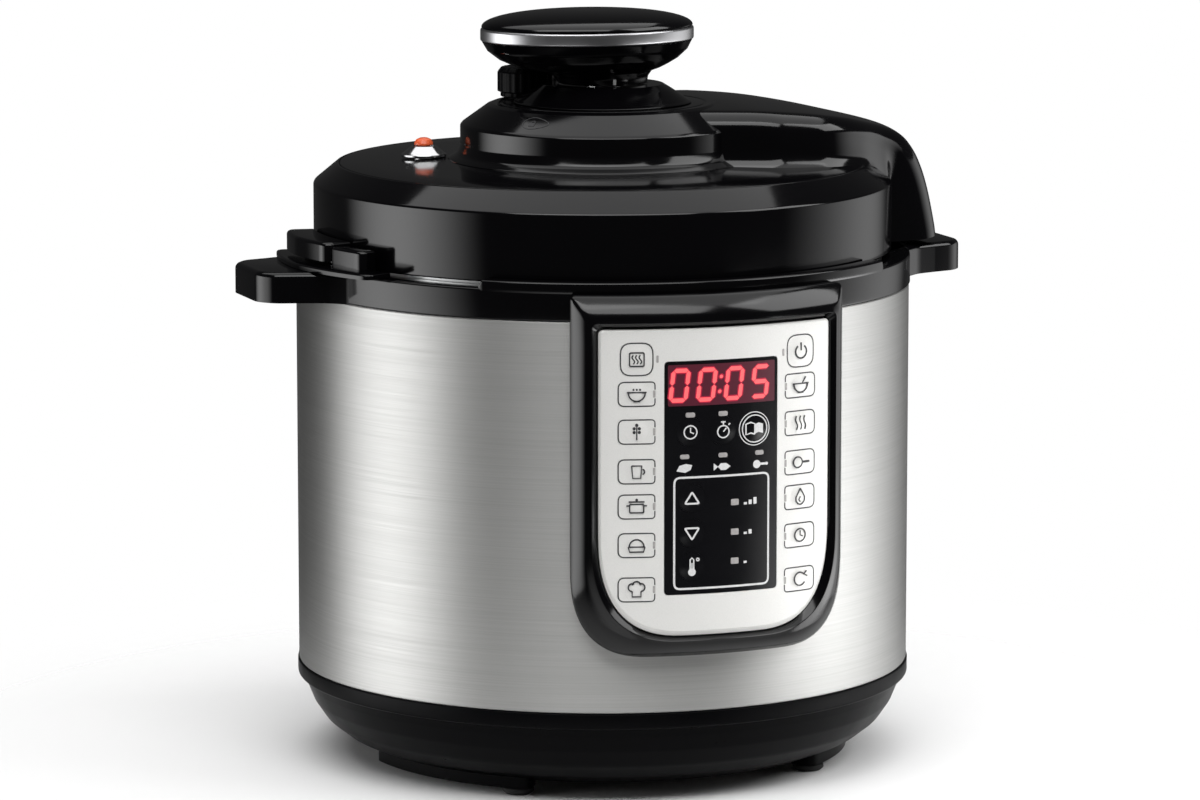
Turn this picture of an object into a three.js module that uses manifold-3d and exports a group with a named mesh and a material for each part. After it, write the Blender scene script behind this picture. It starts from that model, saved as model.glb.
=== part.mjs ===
// Electric pressure cooker: a stainless drum on a black base, with a control panel on the front (-Y),
// a lid on an arm that hinges over the right-hand side (+X), and a locking knob on top.
// Millimetres, +Z up; the drum's axis is the Z axis and the feet stand on Z = 0.

import * as THREE from 'three';
import { mergeVertices } from 'three/addons/utils/BufferGeometryUtils.js';
import Module from 'manifold-3d';

const wasm = await Module();
wasm.setup();

// ---------------------------------------------------------------- driving dimensions

const GAP = 0.3;                 // clearance between neighbouring pieces
const SEGMENTS = 36;             // facets around the drum and the lid
const INNER_SEGMENTS = 24;       // facets around the pots, plates and seals inside
const SMALL_SEGMENTS = 16;       // facets around valves, feet and shafts

const DRUM_R = 138;              // brushed sleeve
const SLEEVE_WALL = 0.8;
const SLEEVE_BOTTOM = 43.9;
const SLEEVE_TOP = 214.6;
const BASE_BAND_R = 138.5;       // black band that the sleeve stands on
const BASE_BAND_BOTTOM = 36.4;

const COLLAR_R = 138.5;          // black collar that carries the two side handles
const COLLAR_BORE_R = 126.5;
const COLLAR_TOP = 228;
const COLLAR_FRONT_TOP = 231.5;  // raised stretch behind the control panel
const COLLAR_FRONT_HALF_ANGLE = 45;
const HANDLE_BOTTOM = 216.5;
const HANDLE_TIP_X = 168;
const HANDLE_WALL = 3;

const PANEL_AXIS_R = 150;        // outer radius of the control panel's surround
const PANEL_BACK_R = 138.9;
const PANEL_HALF_WIDTH = 65.3;
const PANEL_BOTTOM = 69.5;
const PANEL_TOP = 226.8;
const PANEL_SLOPE = { angle: 50.3, distance: 132.7 }; // its flanks slope back: their facing and distance out
const FASCIA_R = 148.4;
const FASCIA_THICKNESS = 1.7;
const FASCIA_HALF_WIDTH = 53.4;
const FASCIA_BOTTOM = 80.6;
const FASCIA_TOP = 212.5;
const WINDOW_HALF_WIDTH = 25.9;
const WINDOW_BOTTOM = 97.6;
const WINDOW_TOP = 198.6;
const KEY_BACK_R = 145.4;
const KEY_TRAVEL_ROOM = 0.3;     // side clearance of a key in its hole
const KEY_COLUMN_ANGLE = 14.7;   // degrees either side of the middle of the panel
const KEY_WIDTH = 16.3;
const KEY_HEIGHT = 10.9;
const CORNER_KEY_SIZE = 14.5;
const KEY_ROWS = [200, 185, 168.7, 151.5, 136.3, 119.5, 100.2];

const VESSEL_R = 113.5;          // inside of the outer pot
const VESSEL_WALL = 1.5;
const VESSEL_BOTTOM = 44;
const MOUTH_R = 124;             // wide mouth above the inner pot's flange
const MOUTH_SHELF = 212.8;
const MOUTH_TOP = 239;
const TAB_INNER_R = 117.5;       // bayonet tabs around the mouth
const TAB_COUNT = 6;
const TAB_ANGLE = 24;
const LUG_ANGLE = 22;
const POT_R = 110;               // inner pot: 156 mm deep, just under 6 litres
const POT_WALL = 1.4;
const POT_BOTTOM = 60;
const POT_RIM = 216;

const LID_R = 130;               // lid skirt
const LID_SKIRT_BOTTOM = 229.6;
const LID_SHOULDER = 259.7;
const LID_RIM_R = 119.5;
const LID_RIM = 268.4;
const LID_TOP = 270;
const HUB_TOP = 295;
const HUB_R = 64;
const HUB_FOOT_R = 70;

const HINGE_X = 151.5;
const HINGE_Z = 236;
const HINGE_PIN_R = 1.9;
const BARREL_R = 4.2;
const BARREL_HALF_LENGTH = 20;

const KNOB_OFFSET_X = -7.3;      // the grip is carried off the axis, away from the arm
const KNOB_HALF_LENGTH = 49;
const KNOB_HALF_WIDTH = 38;
const KNOB_BAND_BOTTOM = 323.4;
const KNOB_BAND_TOP = 329.2;
const KNOB_TOP = 337;

const VALVE = { x: -24, y: 32 };       // pressure release valve
const FLOAT = { x: -74.4, y: 30.8 };       // pressure indicator

// ---------------------------------------------------------------- materials

const FINISHES = {
  glossBlack: { color: 0x0b0b0d, roughness: 0.16, metalness: 0.0 },
  satinBlack: { color: 0x141416, roughness: 0.45, metalness: 0.0 },
  brushedSteel: { color: 0xc9c9c6, roughness: 0.32, metalness: 1.0 },
  bareSteel: { color: 0xb9babb, roughness: 0.28, metalness: 1.0 },
  chrome: { color: 0xe4e5e6, roughness: 0.06, metalness: 1.0 },
  silverFascia: { color: 0xc7c8c8, roughness: 0.38, metalness: 0.6 },
  keyCap: { color: 0xd3d4d4, roughness: 0.4, metalness: 0.3 },
  castAluminium: { color: 0x9a9c9e, roughness: 0.5, metalness: 0.9 },
  rubber: { color: 0x1b1b1c, roughness: 0.85, metalness: 0.0 },
  silicone: { color: 0xd9dad8, roughness: 0.6, metalness: 0.0 },
  board: { color: 0x17492c, roughness: 0.55, metalness: 0.0 },
  pinRed: { color: 0xd2432a, roughness: 0.4, metalness: 0.0 },
};

// ---------------------------------------------------------------- solids

const radians = THREE.MathUtils.degToRad;

function solidFrom(geometry) {
  const bare = geometry.index ? geometry.clone() : geometry;
  bare.deleteAttribute('normal');
  bare.deleteAttribute('uv');
  const merged = mergeVertices(bare, 1e-4);
  const mesh = new wasm.Mesh({
    numProp: 3,
    vertProperties: new Float32Array(merged.attributes.position.array),
    triVerts: new Uint32Array(merged.index.array),
  });
  mesh.merge();
  const solid = new wasm.Manifold(mesh);
  if (solid.volume() > 0) return solid;
  const flipped = merged.index.array.slice();
  for (let i = 0; i < flipped.length; i += 3) {
    [flipped[i], flipped[i + 1]] = [flipped[i + 1], flipped[i]];
  }
  mesh.triVerts = new Uint32Array(flipped);
  return new wasm.Manifold(mesh);
}

function geometryFrom(solid) {
  const mesh = solid.getMesh();
  const geometry = new THREE.BufferGeometry();
  geometry.setAttribute('position', new THREE.BufferAttribute(new Float32Array(mesh.vertProperties), 3));
  geometry.setIndex(new THREE.BufferAttribute(new Uint32Array(mesh.triVerts), 1));
  return geometry;
}

const cut = (solid, ...tools) => tools.reduce((rest, tool) => rest.subtract(tool), solid);
const join = (solid, ...others) => others.reduce((sum, other) => sum.add(other), solid);

// A body of revolution about Z from a closed loop of [radius, height] points.
function turned(loop, segments = SEGMENTS) {
  const points = [...loop, loop[0]].map(([r, z]) => new THREE.Vector2(r, z));
  return solidFrom(new THREE.LatheGeometry(points, segments).rotateX(Math.PI / 2));
}

const ring = (inner, outer, bottom, top, segments = SEGMENTS) =>
  turned([[inner, bottom], [outer, bottom], [outer, top], [inner, top]], segments);

const disc = (radius, bottom, top, segments = SMALL_SEGMENTS) =>
  turned([[0, bottom], [radius, bottom], [radius, top], [0, top]], segments);

const discAt = (x, y, radius, bottom, top, segments = SMALL_SEGMENTS) =>
  disc(radius, bottom, top, segments).translate([x, y, 0]);

function box(x0, x1, y0, y1, z0, z1) {
  const geometry = new THREE.BoxGeometry(x1 - x0, y1 - y0, z1 - z0);
  geometry.translate((x0 + x1) / 2, (y0 + y1) / 2, (z0 + z1) / 2);
  return solidFrom(geometry);
}

// An XY outline raised from one height to another.
function raised(shape, bottom, top, curveSegments = 4) {
  const geometry = new THREE.ExtrudeGeometry(shape, { depth: top - bottom, bevelEnabled: false, curveSegments });
  return solidFrom(geometry.translate(0, 0, bottom));
}

// An XZ outline run along Y, from the back face to the front one (front = smaller Y).
function runAlongY(shape, front, back, curveSegments = 4) {
  const geometry = new THREE.ExtrudeGeometry(shape, { depth: back - front, bevelEnabled: false, curveSegments });
  return solidFrom(geometry.rotateX(Math.PI / 2).translate(0, back, 0));
}

// A wedge about Z between two azimuths, measured from the front (-Y) towards +X.
function wedge(from, to, radius, bottom, top) {
  const steps = Math.max(2, Math.ceil((to - from) / 20));
  const shape = new THREE.Shape([new THREE.Vector2(0, 0)]);
  for (let i = 0; i <= steps; i += 1) {
    const angle = radians(from + ((to - from) * i) / steps);
    shape.lineTo(radius * Math.sin(angle), -radius * Math.cos(angle));
  }
  return raised(shape, bottom, top);
}

function roundedRectangle(left, right, bottom, top, radius) {
  const shape = new THREE.Shape();
  shape.moveTo(left + radius, bottom);
  shape.lineTo(right - radius, bottom);
  shape.absarc(right - radius, bottom + radius, radius, -Math.PI / 2, 0);
  shape.lineTo(right, top - radius);
  shape.absarc(right - radius, top - radius, radius, 0, Math.PI / 2);
  shape.lineTo(left + radius, top);
  shape.absarc(left + radius, top - radius, radius, Math.PI / 2, Math.PI);
  shape.lineTo(left, bottom + radius);
  shape.absarc(left + radius, bottom + radius, radius, Math.PI, Math.PI * 1.5);
  return shape;
}

// A shield: nearly square top corners, and bottom corners that are quarter ellipses.
function shieldOutline(halfWidth, bottom, top, topRadius, cornerWidth, cornerHeight) {
  const centreX = halfWidth - cornerWidth;
  const centreZ = bottom + cornerHeight;
  const shape = new THREE.Shape();
  shape.moveTo(-centreX, bottom);
  shape.lineTo(centreX, bottom);
  shape.absellipse(centreX, centreZ, cornerWidth, cornerHeight, -Math.PI / 2, 0);
  shape.lineTo(halfWidth, top - topRadius);
  shape.absarc(halfWidth - topRadius, top - topRadius, topRadius, 0, Math.PI / 2);
  shape.lineTo(-halfWidth + topRadius, top);
  shape.absarc(-halfWidth + topRadius, top - topRadius, topRadius, Math.PI / 2, Math.PI);
  shape.lineTo(-halfWidth, centreZ);
  shape.absellipse(-centreX, centreZ, cornerWidth, cornerHeight, Math.PI, Math.PI * 1.5);
  return shape;
}

// A closed skin through equal-length rings of [x, y, z] points, capped at both ends by fans.
function loft(rings) {
  const count = rings[0].length;
  const positions = rings.flat(2);
  const centres = [rings[0], rings[rings.length - 1]].map((points) =>
    [0, 1, 2].map((axis) => points.reduce((sum, point) => sum + point[axis], 0) / count));
  positions.push(...centres.flat());
  const firstCentre = rings.length * count;
  const index = [];
  for (let i = 0; i < count; i += 1) {
    const next = (i + 1) % count;
    for (let j = 0; j + 1 < rings.length; j += 1) {
      const low = j * count;
      const high = low + count;
      index.push(low + i, low + next, high + next, low + i, high + next, high + i);
    }
    const last = (rings.length - 1) * count;
    index.push(firstCentre, next, i, firstCentre + 1, last + i, last + next);
  }
  const geometry = new THREE.BufferGeometry();
  geometry.setAttribute('position', new THREE.Float32BufferAttribute(positions, 3));
  geometry.setIndex(index);
  return solidFrom(geometry);
}

// ---------------------------------------------------------------- scene graph

const cooker = new THREE.Group();
const housing = new THREE.Group();
const lid = new THREE.Group();
cooker.add(housing, lid);

function place(group, name, finish, solid) {
  const mesh = new THREE.Mesh(geometryFrom(solid), new THREE.MeshStandardMaterial(FINISHES[finish]));
  mesh.name = name;
  group.add(mesh);
}

// ---------------------------------------------------------------- base

const FOOT_R = 7;
const FOOT_PITCH_R = 105;
const FOOT_ANGLES = [-41, 41, 139, -139];
const PAD_BOTTOM = 3.2;

function baseShell() {
  const bowl = turned([
    [BASE_BAND_R, SLEEVE_BOTTOM - GAP], [BASE_BAND_R, BASE_BAND_BOTTOM], [135, 36], [133.5, 31], [129, 21],
    [120, 12], [110, 7.5], [99, 5.2], [99, 8], [118.5, 14.5], [127, 24], [133.5, 52], [136.7, 52],
    [136.7, SLEEVE_BOTTOM - GAP],
  ]);
  const pads = [-70, 70].map((middle) =>
    ring(99.5, 111, PAD_BOTTOM, 9).intersect(wedge(middle - 29, middle + 29, 180, 0, 20)));
  return join(bowl, ...pads);
}

function bottomCover() {
  const slots = [];
  for (let i = -3; i <= 3; i += 1) {
    slots.push(raised(roundedRectangle(-40, 40, i * 9 - 1.8, i * 9 + 1.8, 1.5), 0, 20, 1));
  }
  return cut(disc(98.7, 5.6, 8, SEGMENTS), ...slots);
}

function foot(angle) {
  const x = FOOT_PITCH_R * Math.sin(radians(angle));
  const y = -FOOT_PITCH_R * Math.cos(radians(angle));
  return discAt(x, y, FOOT_R, 0, PAD_BOTTOM - GAP);
}

place(housing, 'base_shell', 'satinBlack', baseShell());
place(housing, 'bottom_cover', 'satinBlack', bottomCover());
FOOT_ANGLES.forEach((angle, i) => place(housing, `foot_${i}`, 'rubber', foot(angle)));

// ---------------------------------------------------------------- drum, collar and handles

const PANEL_OPENING = { halfWidth: 50, bottom: 86, top: 208.5 };
const INLET = { halfWidth: 17, bottom: 52.5, top: 80, front: 131, back: PANEL_AXIS_R };

function bodySleeve() {
  const tube = ring(DRUM_R - SLEEVE_WALL, DRUM_R, SLEEVE_BOTTOM, SLEEVE_TOP);
  const { halfWidth, bottom, top } = PANEL_OPENING;
  const panelHole = runAlongY(roundedRectangle(-halfWidth, halfWidth, bottom, top, 6), -160, -100, 2);
  const inletHole = box(-INLET.halfWidth - GAP, INLET.halfWidth + GAP, 100, 160,
    INLET.bottom - GAP, INLET.top + GAP);
  return cut(tube, panelHole, inletHole);
}

// Half of the right-hand handle's outline, from the collar's wall out to the tip.
const HANDLE_EDGE = [[122, 47], [129, 43], [134, 38], [140, 32.5], [149, 28.5], [158, 26.5], [164, 24], [167.2, 20],
  [HANDLE_TIP_X, 14]];

function handleOutline(side, inset) {
  const near = HANDLE_EDGE.map(([x, half]) => [Math.min(x, HANDLE_TIP_X - inset), half - inset]);
  const points = [...near, ...near.map(([x, half]) => [x, -half]).reverse()];
  return new THREE.Shape(points.map(([x, y]) => new THREE.Vector2(side * x, y)));
}

function upperCollar() {
  const body = turned([
    [COLLAR_R, SLEEVE_TOP + GAP], [COLLAR_R, COLLAR_TOP], [COLLAR_BORE_R, COLLAR_TOP],
    [COLLAR_BORE_R, MOUTH_SHELF - GAP], [117.5, MOUTH_SHELF - GAP], [117.5, 210], [136.6, 210],
    [136.6, SLEEVE_TOP + GAP],
  ]);
  const raisedFront = ring(131.5, COLLAR_R, COLLAR_TOP - 1, COLLAR_FRONT_TOP)
    .intersect(wedge(-COLLAR_FRONT_HALF_ANGLE, COLLAR_FRONT_HALF_ANGLE, 180, 200, 240));
  const bore = ring(0.01, COLLAR_R - 3, 200, COLLAR_TOP - HANDLE_WALL);
  const handles = [-1, 1].map((side) => {
    const plate = raised(handleOutline(side, 0), HANDLE_BOTTOM, COLLAR_TOP);
    const grip = raised(handleOutline(side, HANDLE_WALL), 210, COLLAR_TOP - HANDLE_WALL);
    return cut(plate, cut(grip, disc(COLLAR_R, 200, 240, SEGMENTS)), bore, disc(COLLAR_BORE_R, 200, 240, SEGMENTS));
  });
  return join(body, raisedFront, ...handles);
}

place(housing, 'body_sleeve', 'brushedSteel', bodySleeve());
place(housing, 'upper_collar', 'glossBlack', upperCollar());

// ---------------------------------------------------------------- control panel

const keys = [];
for (const side of [-1, 1]) {
  KEY_ROWS.forEach((height, row) => {
    const corner = row === 0;
    keys.push({
      name: `key_${side < 0 ? 'left' : 'right'}_${row}`,
      angle: side * KEY_COLUMN_ANGLE,
      height,
      halfWidth: (corner ? CORNER_KEY_SIZE : KEY_WIDTH) / 2,
      halfHeight: (corner ? CORNER_KEY_SIZE : KEY_HEIGHT) / 2,
      corner: corner ? 4.5 : 2.5,
      curveSegments: 1,
      finish: 'keyCap',
    });
  });
}
const ROUND_KEYS = [
  ['key_delay', -5.7, 168], ['key_timer', 0, 168], ['key_menu', 5.6, 168],
  ['key_up', -5.4, 139.3], ['key_down', -5.4, 124], ['key_temperature', -5.4, 109.6],
];
for (const [name, angle, height] of ROUND_KEYS) {
  keys.push({ name, angle, height, halfWidth: 6.2, halfHeight: 6.2, corner: 6.1, curveSegments: 2,
    finish: 'glossBlack' });
}

// A key, or the hole it works in when room is added, square to the panel at its own azimuth.
function keyBlock(key, backR, frontR, room = 0) {
  const shape = roundedRectangle(-key.halfWidth - room, key.halfWidth + room,
    key.height - key.halfHeight - room, key.height + key.halfHeight + room, key.corner + room);
  return runAlongY(shape, -frontR, -backR, key.curveSegments).rotate([0, 0, key.angle]);
}

const keyHole = (key) => keyBlock(key, 140, 160, KEY_TRAVEL_ROOM);
const isInWindow = (key) => key.finish === 'glossBlack';

function panelFrame() {
  const outline = shieldOutline(PANEL_HALF_WIDTH, PANEL_BOTTOM, PANEL_TOP, 4, 36, 25);
  const block = ring(PANEL_BACK_R, PANEL_AXIS_R, PANEL_BOTTOM - 1, PANEL_TOP + 1)
    .intersect(runAlongY(outline, -170, -100, 3));
  const pocketOutline = shieldOutline(FASCIA_HALF_WIDTH + GAP, FASCIA_BOTTOM - GAP, FASCIA_TOP + GAP,
    4.3, 38.3, 27.3);
  const pocket = cut(runAlongY(pocketOutline, -170, -100, 3),
    disc(FASCIA_R - FASCIA_THICKNESS - GAP, 0, 300, SEGMENTS));
  const { halfWidth, bottom, top } = PANEL_OPENING;
  const opening = runAlongY(roundedRectangle(-halfWidth, halfWidth, bottom, top, 6), -170, -100, 2);
  const slopes = [-1, 1].map((side) =>
    box(-40, 40, -190, -PANEL_SLOPE.distance, 0, 300).rotate([0, 0, side * PANEL_SLOPE.angle]));
  const underSlope = turned([[PANEL_AXIS_R, 77], [156, 77], [156, 60], [144, 60]]);
  return cut(block, pocket, opening, ...slopes, underSlope);
}

function fascia() {
  const outline = shieldOutline(FASCIA_HALF_WIDTH, FASCIA_BOTTOM, FASCIA_TOP, 4, 38, 27);
  const plate = ring(FASCIA_R - FASCIA_THICKNESS, FASCIA_R, FASCIA_BOTTOM - 1, FASCIA_TOP + 1)
    .intersect(runAlongY(outline, -170, -100, 3));
  const windowHole = runAlongY(
    roundedRectangle(-WINDOW_HALF_WIDTH - GAP, WINDOW_HALF_WIDTH + GAP, WINDOW_BOTTOM - GAP, WINDOW_TOP + GAP, 2),
    -170, -100);
  return cut(plate, windowHole, ...keys.filter((key) => !isInWindow(key)).map(keyHole));
}

function displayWindow() {
  const outline = roundedRectangle(-WINDOW_HALF_WIDTH, WINDOW_HALF_WIDTH, WINDOW_BOTTOM, WINDOW_TOP, 1.7);
  const plate = ring(FASCIA_R - FASCIA_THICKNESS, FASCIA_R + 0.1, WINDOW_BOTTOM - 1, WINDOW_TOP + 1)
    .intersect(runAlongY(outline, -170, -100));
  return cut(plate, ...keys.filter(isInWindow).map(keyHole));
}

place(housing, 'panel_frame', 'glossBlack', panelFrame());
place(housing, 'fascia', 'silverFascia', fascia());
place(housing, 'display_window', 'glossBlack', displayWindow());
place(housing, 'display_module', 'satinBlack', box(-23, 23, -144.6, -135, 178, 197));
place(housing, 'control_board', 'board', box(-45, 45, -134.6, -133, 90, 202));
for (const key of keys) place(housing, key.name, key.finish, keyBlock(key, KEY_BACK_R, FASCIA_R + 0.6));

// ---------------------------------------------------------------- electrics

function powerInlet() {
  const { halfWidth, bottom, top, front, back } = INLET;
  const body = box(-halfWidth, halfWidth, front, back, bottom, top);
  const socket = runAlongY(roundedRectangle(-12.5, 12.5, bottom + 5, top - 5, 3), back - 16, back + 1);
  const blades = [[-7, 64.5], [7, 64.5], [0, 70]].map(([x, z]) =>
    box(x - 1, x + 1, back - 17, back - 6, z - 2, z + 2));
  return join(cut(body, socket), ...blades);
}

place(housing, 'power_inlet', 'satinBlack', powerInlet());
place(housing, 'power_board', 'board', box(-38, 38, 121, 122.6, 92, 165));

// ---------------------------------------------------------------- outer pot, heater and inner pot

const SENSOR_R = 15;
const SENSOR_CUP_R = 22;
const SENSOR_CUP_BOTTOM = 27;

function pressureVessel() {
  const wall = VESSEL_WALL;
  const shell = turned([
    [0, SENSOR_CUP_BOTTOM], [SENSOR_CUP_R + wall, SENSOR_CUP_BOTTOM], [SENSOR_CUP_R + wall, VESSEL_BOTTOM],
    [VESSEL_R - 6, VESSEL_BOTTOM], [VESSEL_R + wall, VESSEL_BOTTOM + 7], [VESSEL_R + wall, MOUTH_SHELF],
    [MOUTH_R + wall, MOUTH_SHELF], [MOUTH_R + wall, MOUTH_TOP], [MOUTH_R, MOUTH_TOP],
    [MOUTH_R, MOUTH_SHELF + wall], [VESSEL_R, MOUTH_SHELF + wall], [VESSEL_R, VESSEL_BOTTOM + 8],
    [VESSEL_R - 7, VESSEL_BOTTOM + wall], [SENSOR_CUP_R, VESSEL_BOTTOM + wall],
    [SENSOR_CUP_R, SENSOR_CUP_BOTTOM + wall], [0, SENSOR_CUP_BOTTOM + wall],
  ], INNER_SEGMENTS);
  const tabRing = ring(TAB_INNER_R, MOUTH_R + wall / 2, MOUTH_TOP - 2, MOUTH_TOP, INNER_SEGMENTS);
  const tabs = [];
  for (let i = 0; i < TAB_COUNT; i += 1) {
    const middle = (360 / TAB_COUNT) * i;
    tabs.push(tabRing.intersect(wedge(middle - TAB_ANGLE / 2, middle + TAB_ANGLE / 2, 200, 200, 260)));
  }
  return join(shell, ...tabs);
}

function innerPot() {
  const wall = POT_WALL;
  return turned([
    [0, POT_BOTTOM], [POT_R - 10, POT_BOTTOM], [POT_R - 2.5, POT_BOTTOM + 3], [POT_R + wall, POT_BOTTOM + 12],
    [POT_R + wall, POT_RIM - wall], [121, POT_RIM - wall], [121, POT_RIM], [POT_R, POT_RIM],
    [POT_R, POT_BOTTOM + 12.5], [POT_R - 3.5, POT_BOTTOM + 4.5], [POT_R - 10.5, POT_BOTTOM + wall],
    [0, POT_BOTTOM + wall],
  ], INNER_SEGMENTS);
}

function heatingPlate() {
  return turned([
    [SENSOR_R + 1.5, 49.5], [94, 49.5], [97, 52], [97, 58], [94, POT_BOTTOM - GAP], [SENSOR_R + 1.5, POT_BOTTOM - GAP],
  ], INNER_SEGMENTS);
}

const SPRING = { radius: 8, wire: 0.9, bottom: 29.9, top: 49.3, turns: 4 };

// The coil's wire stays between its two ends' flat seats.
function sensorSpring() {
  const { radius, wire, bottom, top, turns } = SPRING;
  class Coil extends THREE.Curve {
    getPoint(t, target = new THREE.Vector3()) {
      const angle = t * turns * Math.PI * 2;
      return target.set(radius * Math.cos(angle), radius * Math.sin(angle), bottom + (top - bottom) * t);
    }
  }
  const section = new THREE.Shape();
  for (let i = 0; i < 5; i += 1) {
    const angle = (i / 5) * Math.PI * 2;
    const point = [wire * Math.cos(angle), wire * Math.sin(angle)];
    if (i === 0) section.moveTo(...point); else section.lineTo(...point);
  }
  const geometry = new THREE.ExtrudeGeometry(section,
    { steps: turns * 8, bevelEnabled: false, extrudePath: new Coil() });
  return solidFrom(geometry);
}

function temperatureSensor() {
  return turned([
    [0, 51], [5, 51], [5, 50.6], [SENSOR_R - 1, 50.6], [SENSOR_R - 1, 56.5], [SENSOR_R, 57],
    [SENSOR_R, 59.2], [SENSOR_R - 1.5, POT_BOTTOM - GAP], [0, POT_BOTTOM - GAP],
  ], SMALL_SEGMENTS);
}

place(housing, 'pressure_vessel', 'bareSteel', pressureVessel());
place(housing, 'inner_pot', 'castAluminium', innerPot());
place(housing, 'heating_plate', 'castAluminium', heatingPlate());
place(housing, 'temperature_sensor', 'bareSteel', temperatureSensor());
place(housing, 'sensor_spring', 'bareSteel', sensorSpring());
place(housing, 'pressure_switch', 'satinBlack', box(58, 80, -9, 9, 30, VESSEL_BOTTOM - GAP));

// ---------------------------------------------------------------- hinge and catch on the handles

function hingeBracket() {
  const plate = box(143.5, 158, -27, 27, COLLAR_TOP + GAP, COLLAR_TOP + 1.2);
  const bore = disc(HINGE_PIN_R + 0.05, -40, 40).rotate([90, 0, 0]).translate([HINGE_X, 0, HINGE_Z]);
  const ears = [-1, 1].map((side) => {
    const ear = disc(3.8, -2.4, 2.4).rotate([90, 0, 0]).translate([HINGE_X, side * 23.8, HINGE_Z]);
    const leg = box(HINGE_X - 3, HINGE_X + 3, side * 23.8 - 2.4, side * 23.8 + 2.4, COLLAR_TOP + 0.5, HINGE_Z);
    return join(ear, leg);
  });
  return cut(join(plate, ...ears), bore);
}

const hingePin = () => disc(HINGE_PIN_R - 0.02, -26.6, 26.6).rotate([90, 0, 0]).translate([HINGE_X, 0, HINGE_Z]);

function catchKeeper() {
  const plate = ring(133, 150, COLLAR_TOP + GAP, COLLAR_TOP + 2.6).intersect(wedge(-104, -64, 200, 200, 260));
  const tab = ring(133, 141.5, COLLAR_TOP + 1, 239.3).intersect(wedge(-77.4, -68, 200, 200, 260));
  return join(plate, tab);
}

place(housing, 'hinge_bracket', 'satinBlack', hingeBracket());
place(housing, 'hinge_pin', 'bareSteel', hingePin());
place(housing, 'catch_keeper', 'glossBlack', catchKeeper());

// ---------------------------------------------------------------- lid cover, arm and catch

const SHAFT_R = 8;
const STEM_R = 4.5;
const lidPassages = (clearance) => [
  disc(SHAFT_R + 1, 200, 300),
  discAt(VALVE.x, VALVE.y, STEM_R + clearance, 200, 300),
  discAt(FLOAT.x, FLOAT.y, 4.8 + clearance, 200, 300),
];

function lidCover() {
  const cover = turned([
    [6, 264.2], [117, 264.2], [LID_R - 2.8, 256.5], [LID_R - 2.8, LID_SKIRT_BOTTOM], [LID_R, LID_SKIRT_BOTTOM],
    [LID_R, LID_SHOULDER], [LID_RIM_R, LID_RIM], [LID_RIM_R - 1, LID_RIM], [LID_RIM_R - 1, 266.8], [6, 266.8],
  ]);
  return cut(cover, ...lidPassages(0.5));
}

function lidTopPanel() {
  const edge = LID_RIM_R - 1 - GAP;
  const panel = turned([
    [6, 267.1], [edge, 267.1], [edge, LID_RIM + 0.1], [HUB_FOOT_R, LID_TOP], [6, LID_TOP],
  ]);
  return cut(panel, ...lidPassages(0.5));
}

// The arm's crown runs from the hub out over the lid and down to the handle: [distance from the axis, height].
const ARM_CROWN = [[30, 294.9], [57, 294.6], [77, 293], [96, 290.4], [110, 287.4], [124, 284], [133, 281.2],
  [138.5, 278], [142, 274.5], [145, 269.5], [148.5, 261], [151, 252.5], [153, 244.5], [155, 236], [155.6, 231.5],
  [153.8, LID_SKIRT_BOTTOM - 0.2]];
const ARM_SHOULDER_WIDTH = 9;
const ARM_SHOULDER_DROP = 8;

// Half-width of the arm, from the hub's flank down to the handle.
function armHalfWidth(r) {
  const wide = 60.5;
  const narrow = 34;
  const flank = Math.min(wide, 50 + (r - 30) * 0.35);
  return flank + (narrow - wide) * THREE.MathUtils.smoothstep(r, 82, 142);
}

// Depth of the bow across the arm where it turns down the lid's side.
const armBow = (r, y) => (THREE.MathUtils.smoothstep(r, 105, 145) * y * y) / 300;

function armSolid(inset) {
  const floorR = LID_R - 5;
  const floorZ = LID_RIM - 5;
  const rings = ARM_CROWN.map(([r, z], i) => {
    const [r0, z0] = ARM_CROWN[Math.max(0, i - 1)];
    const [r1, z1] = ARM_CROWN[Math.min(ARM_CROWN.length - 2, i + 1)];
    const length = Math.hypot(r1 - r0, z1 - z0) || 1;
    const outR = -(z1 - z0) / length;
    const outZ = (r1 - r0) / length;
    const half = armHalfWidth(r) - inset;
    const drop = ARM_SHOULDER_DROP;
    const at = (y, depth) => [r - outR * (depth + inset) - armBow(r, y), y, z - outZ * (depth + inset)];
    const low = (y) => [Math.min(r - inset, floorR), y, Math.min(z, floorZ)];
    return [low(-half), at(-half, drop), at(-half + ARM_SHOULDER_WIDTH, 0), at(0, 0),
      at(half - ARM_SHOULDER_WIDTH, 0), at(half, drop), low(half)];
  });
  return loft(rings);
}

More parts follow.
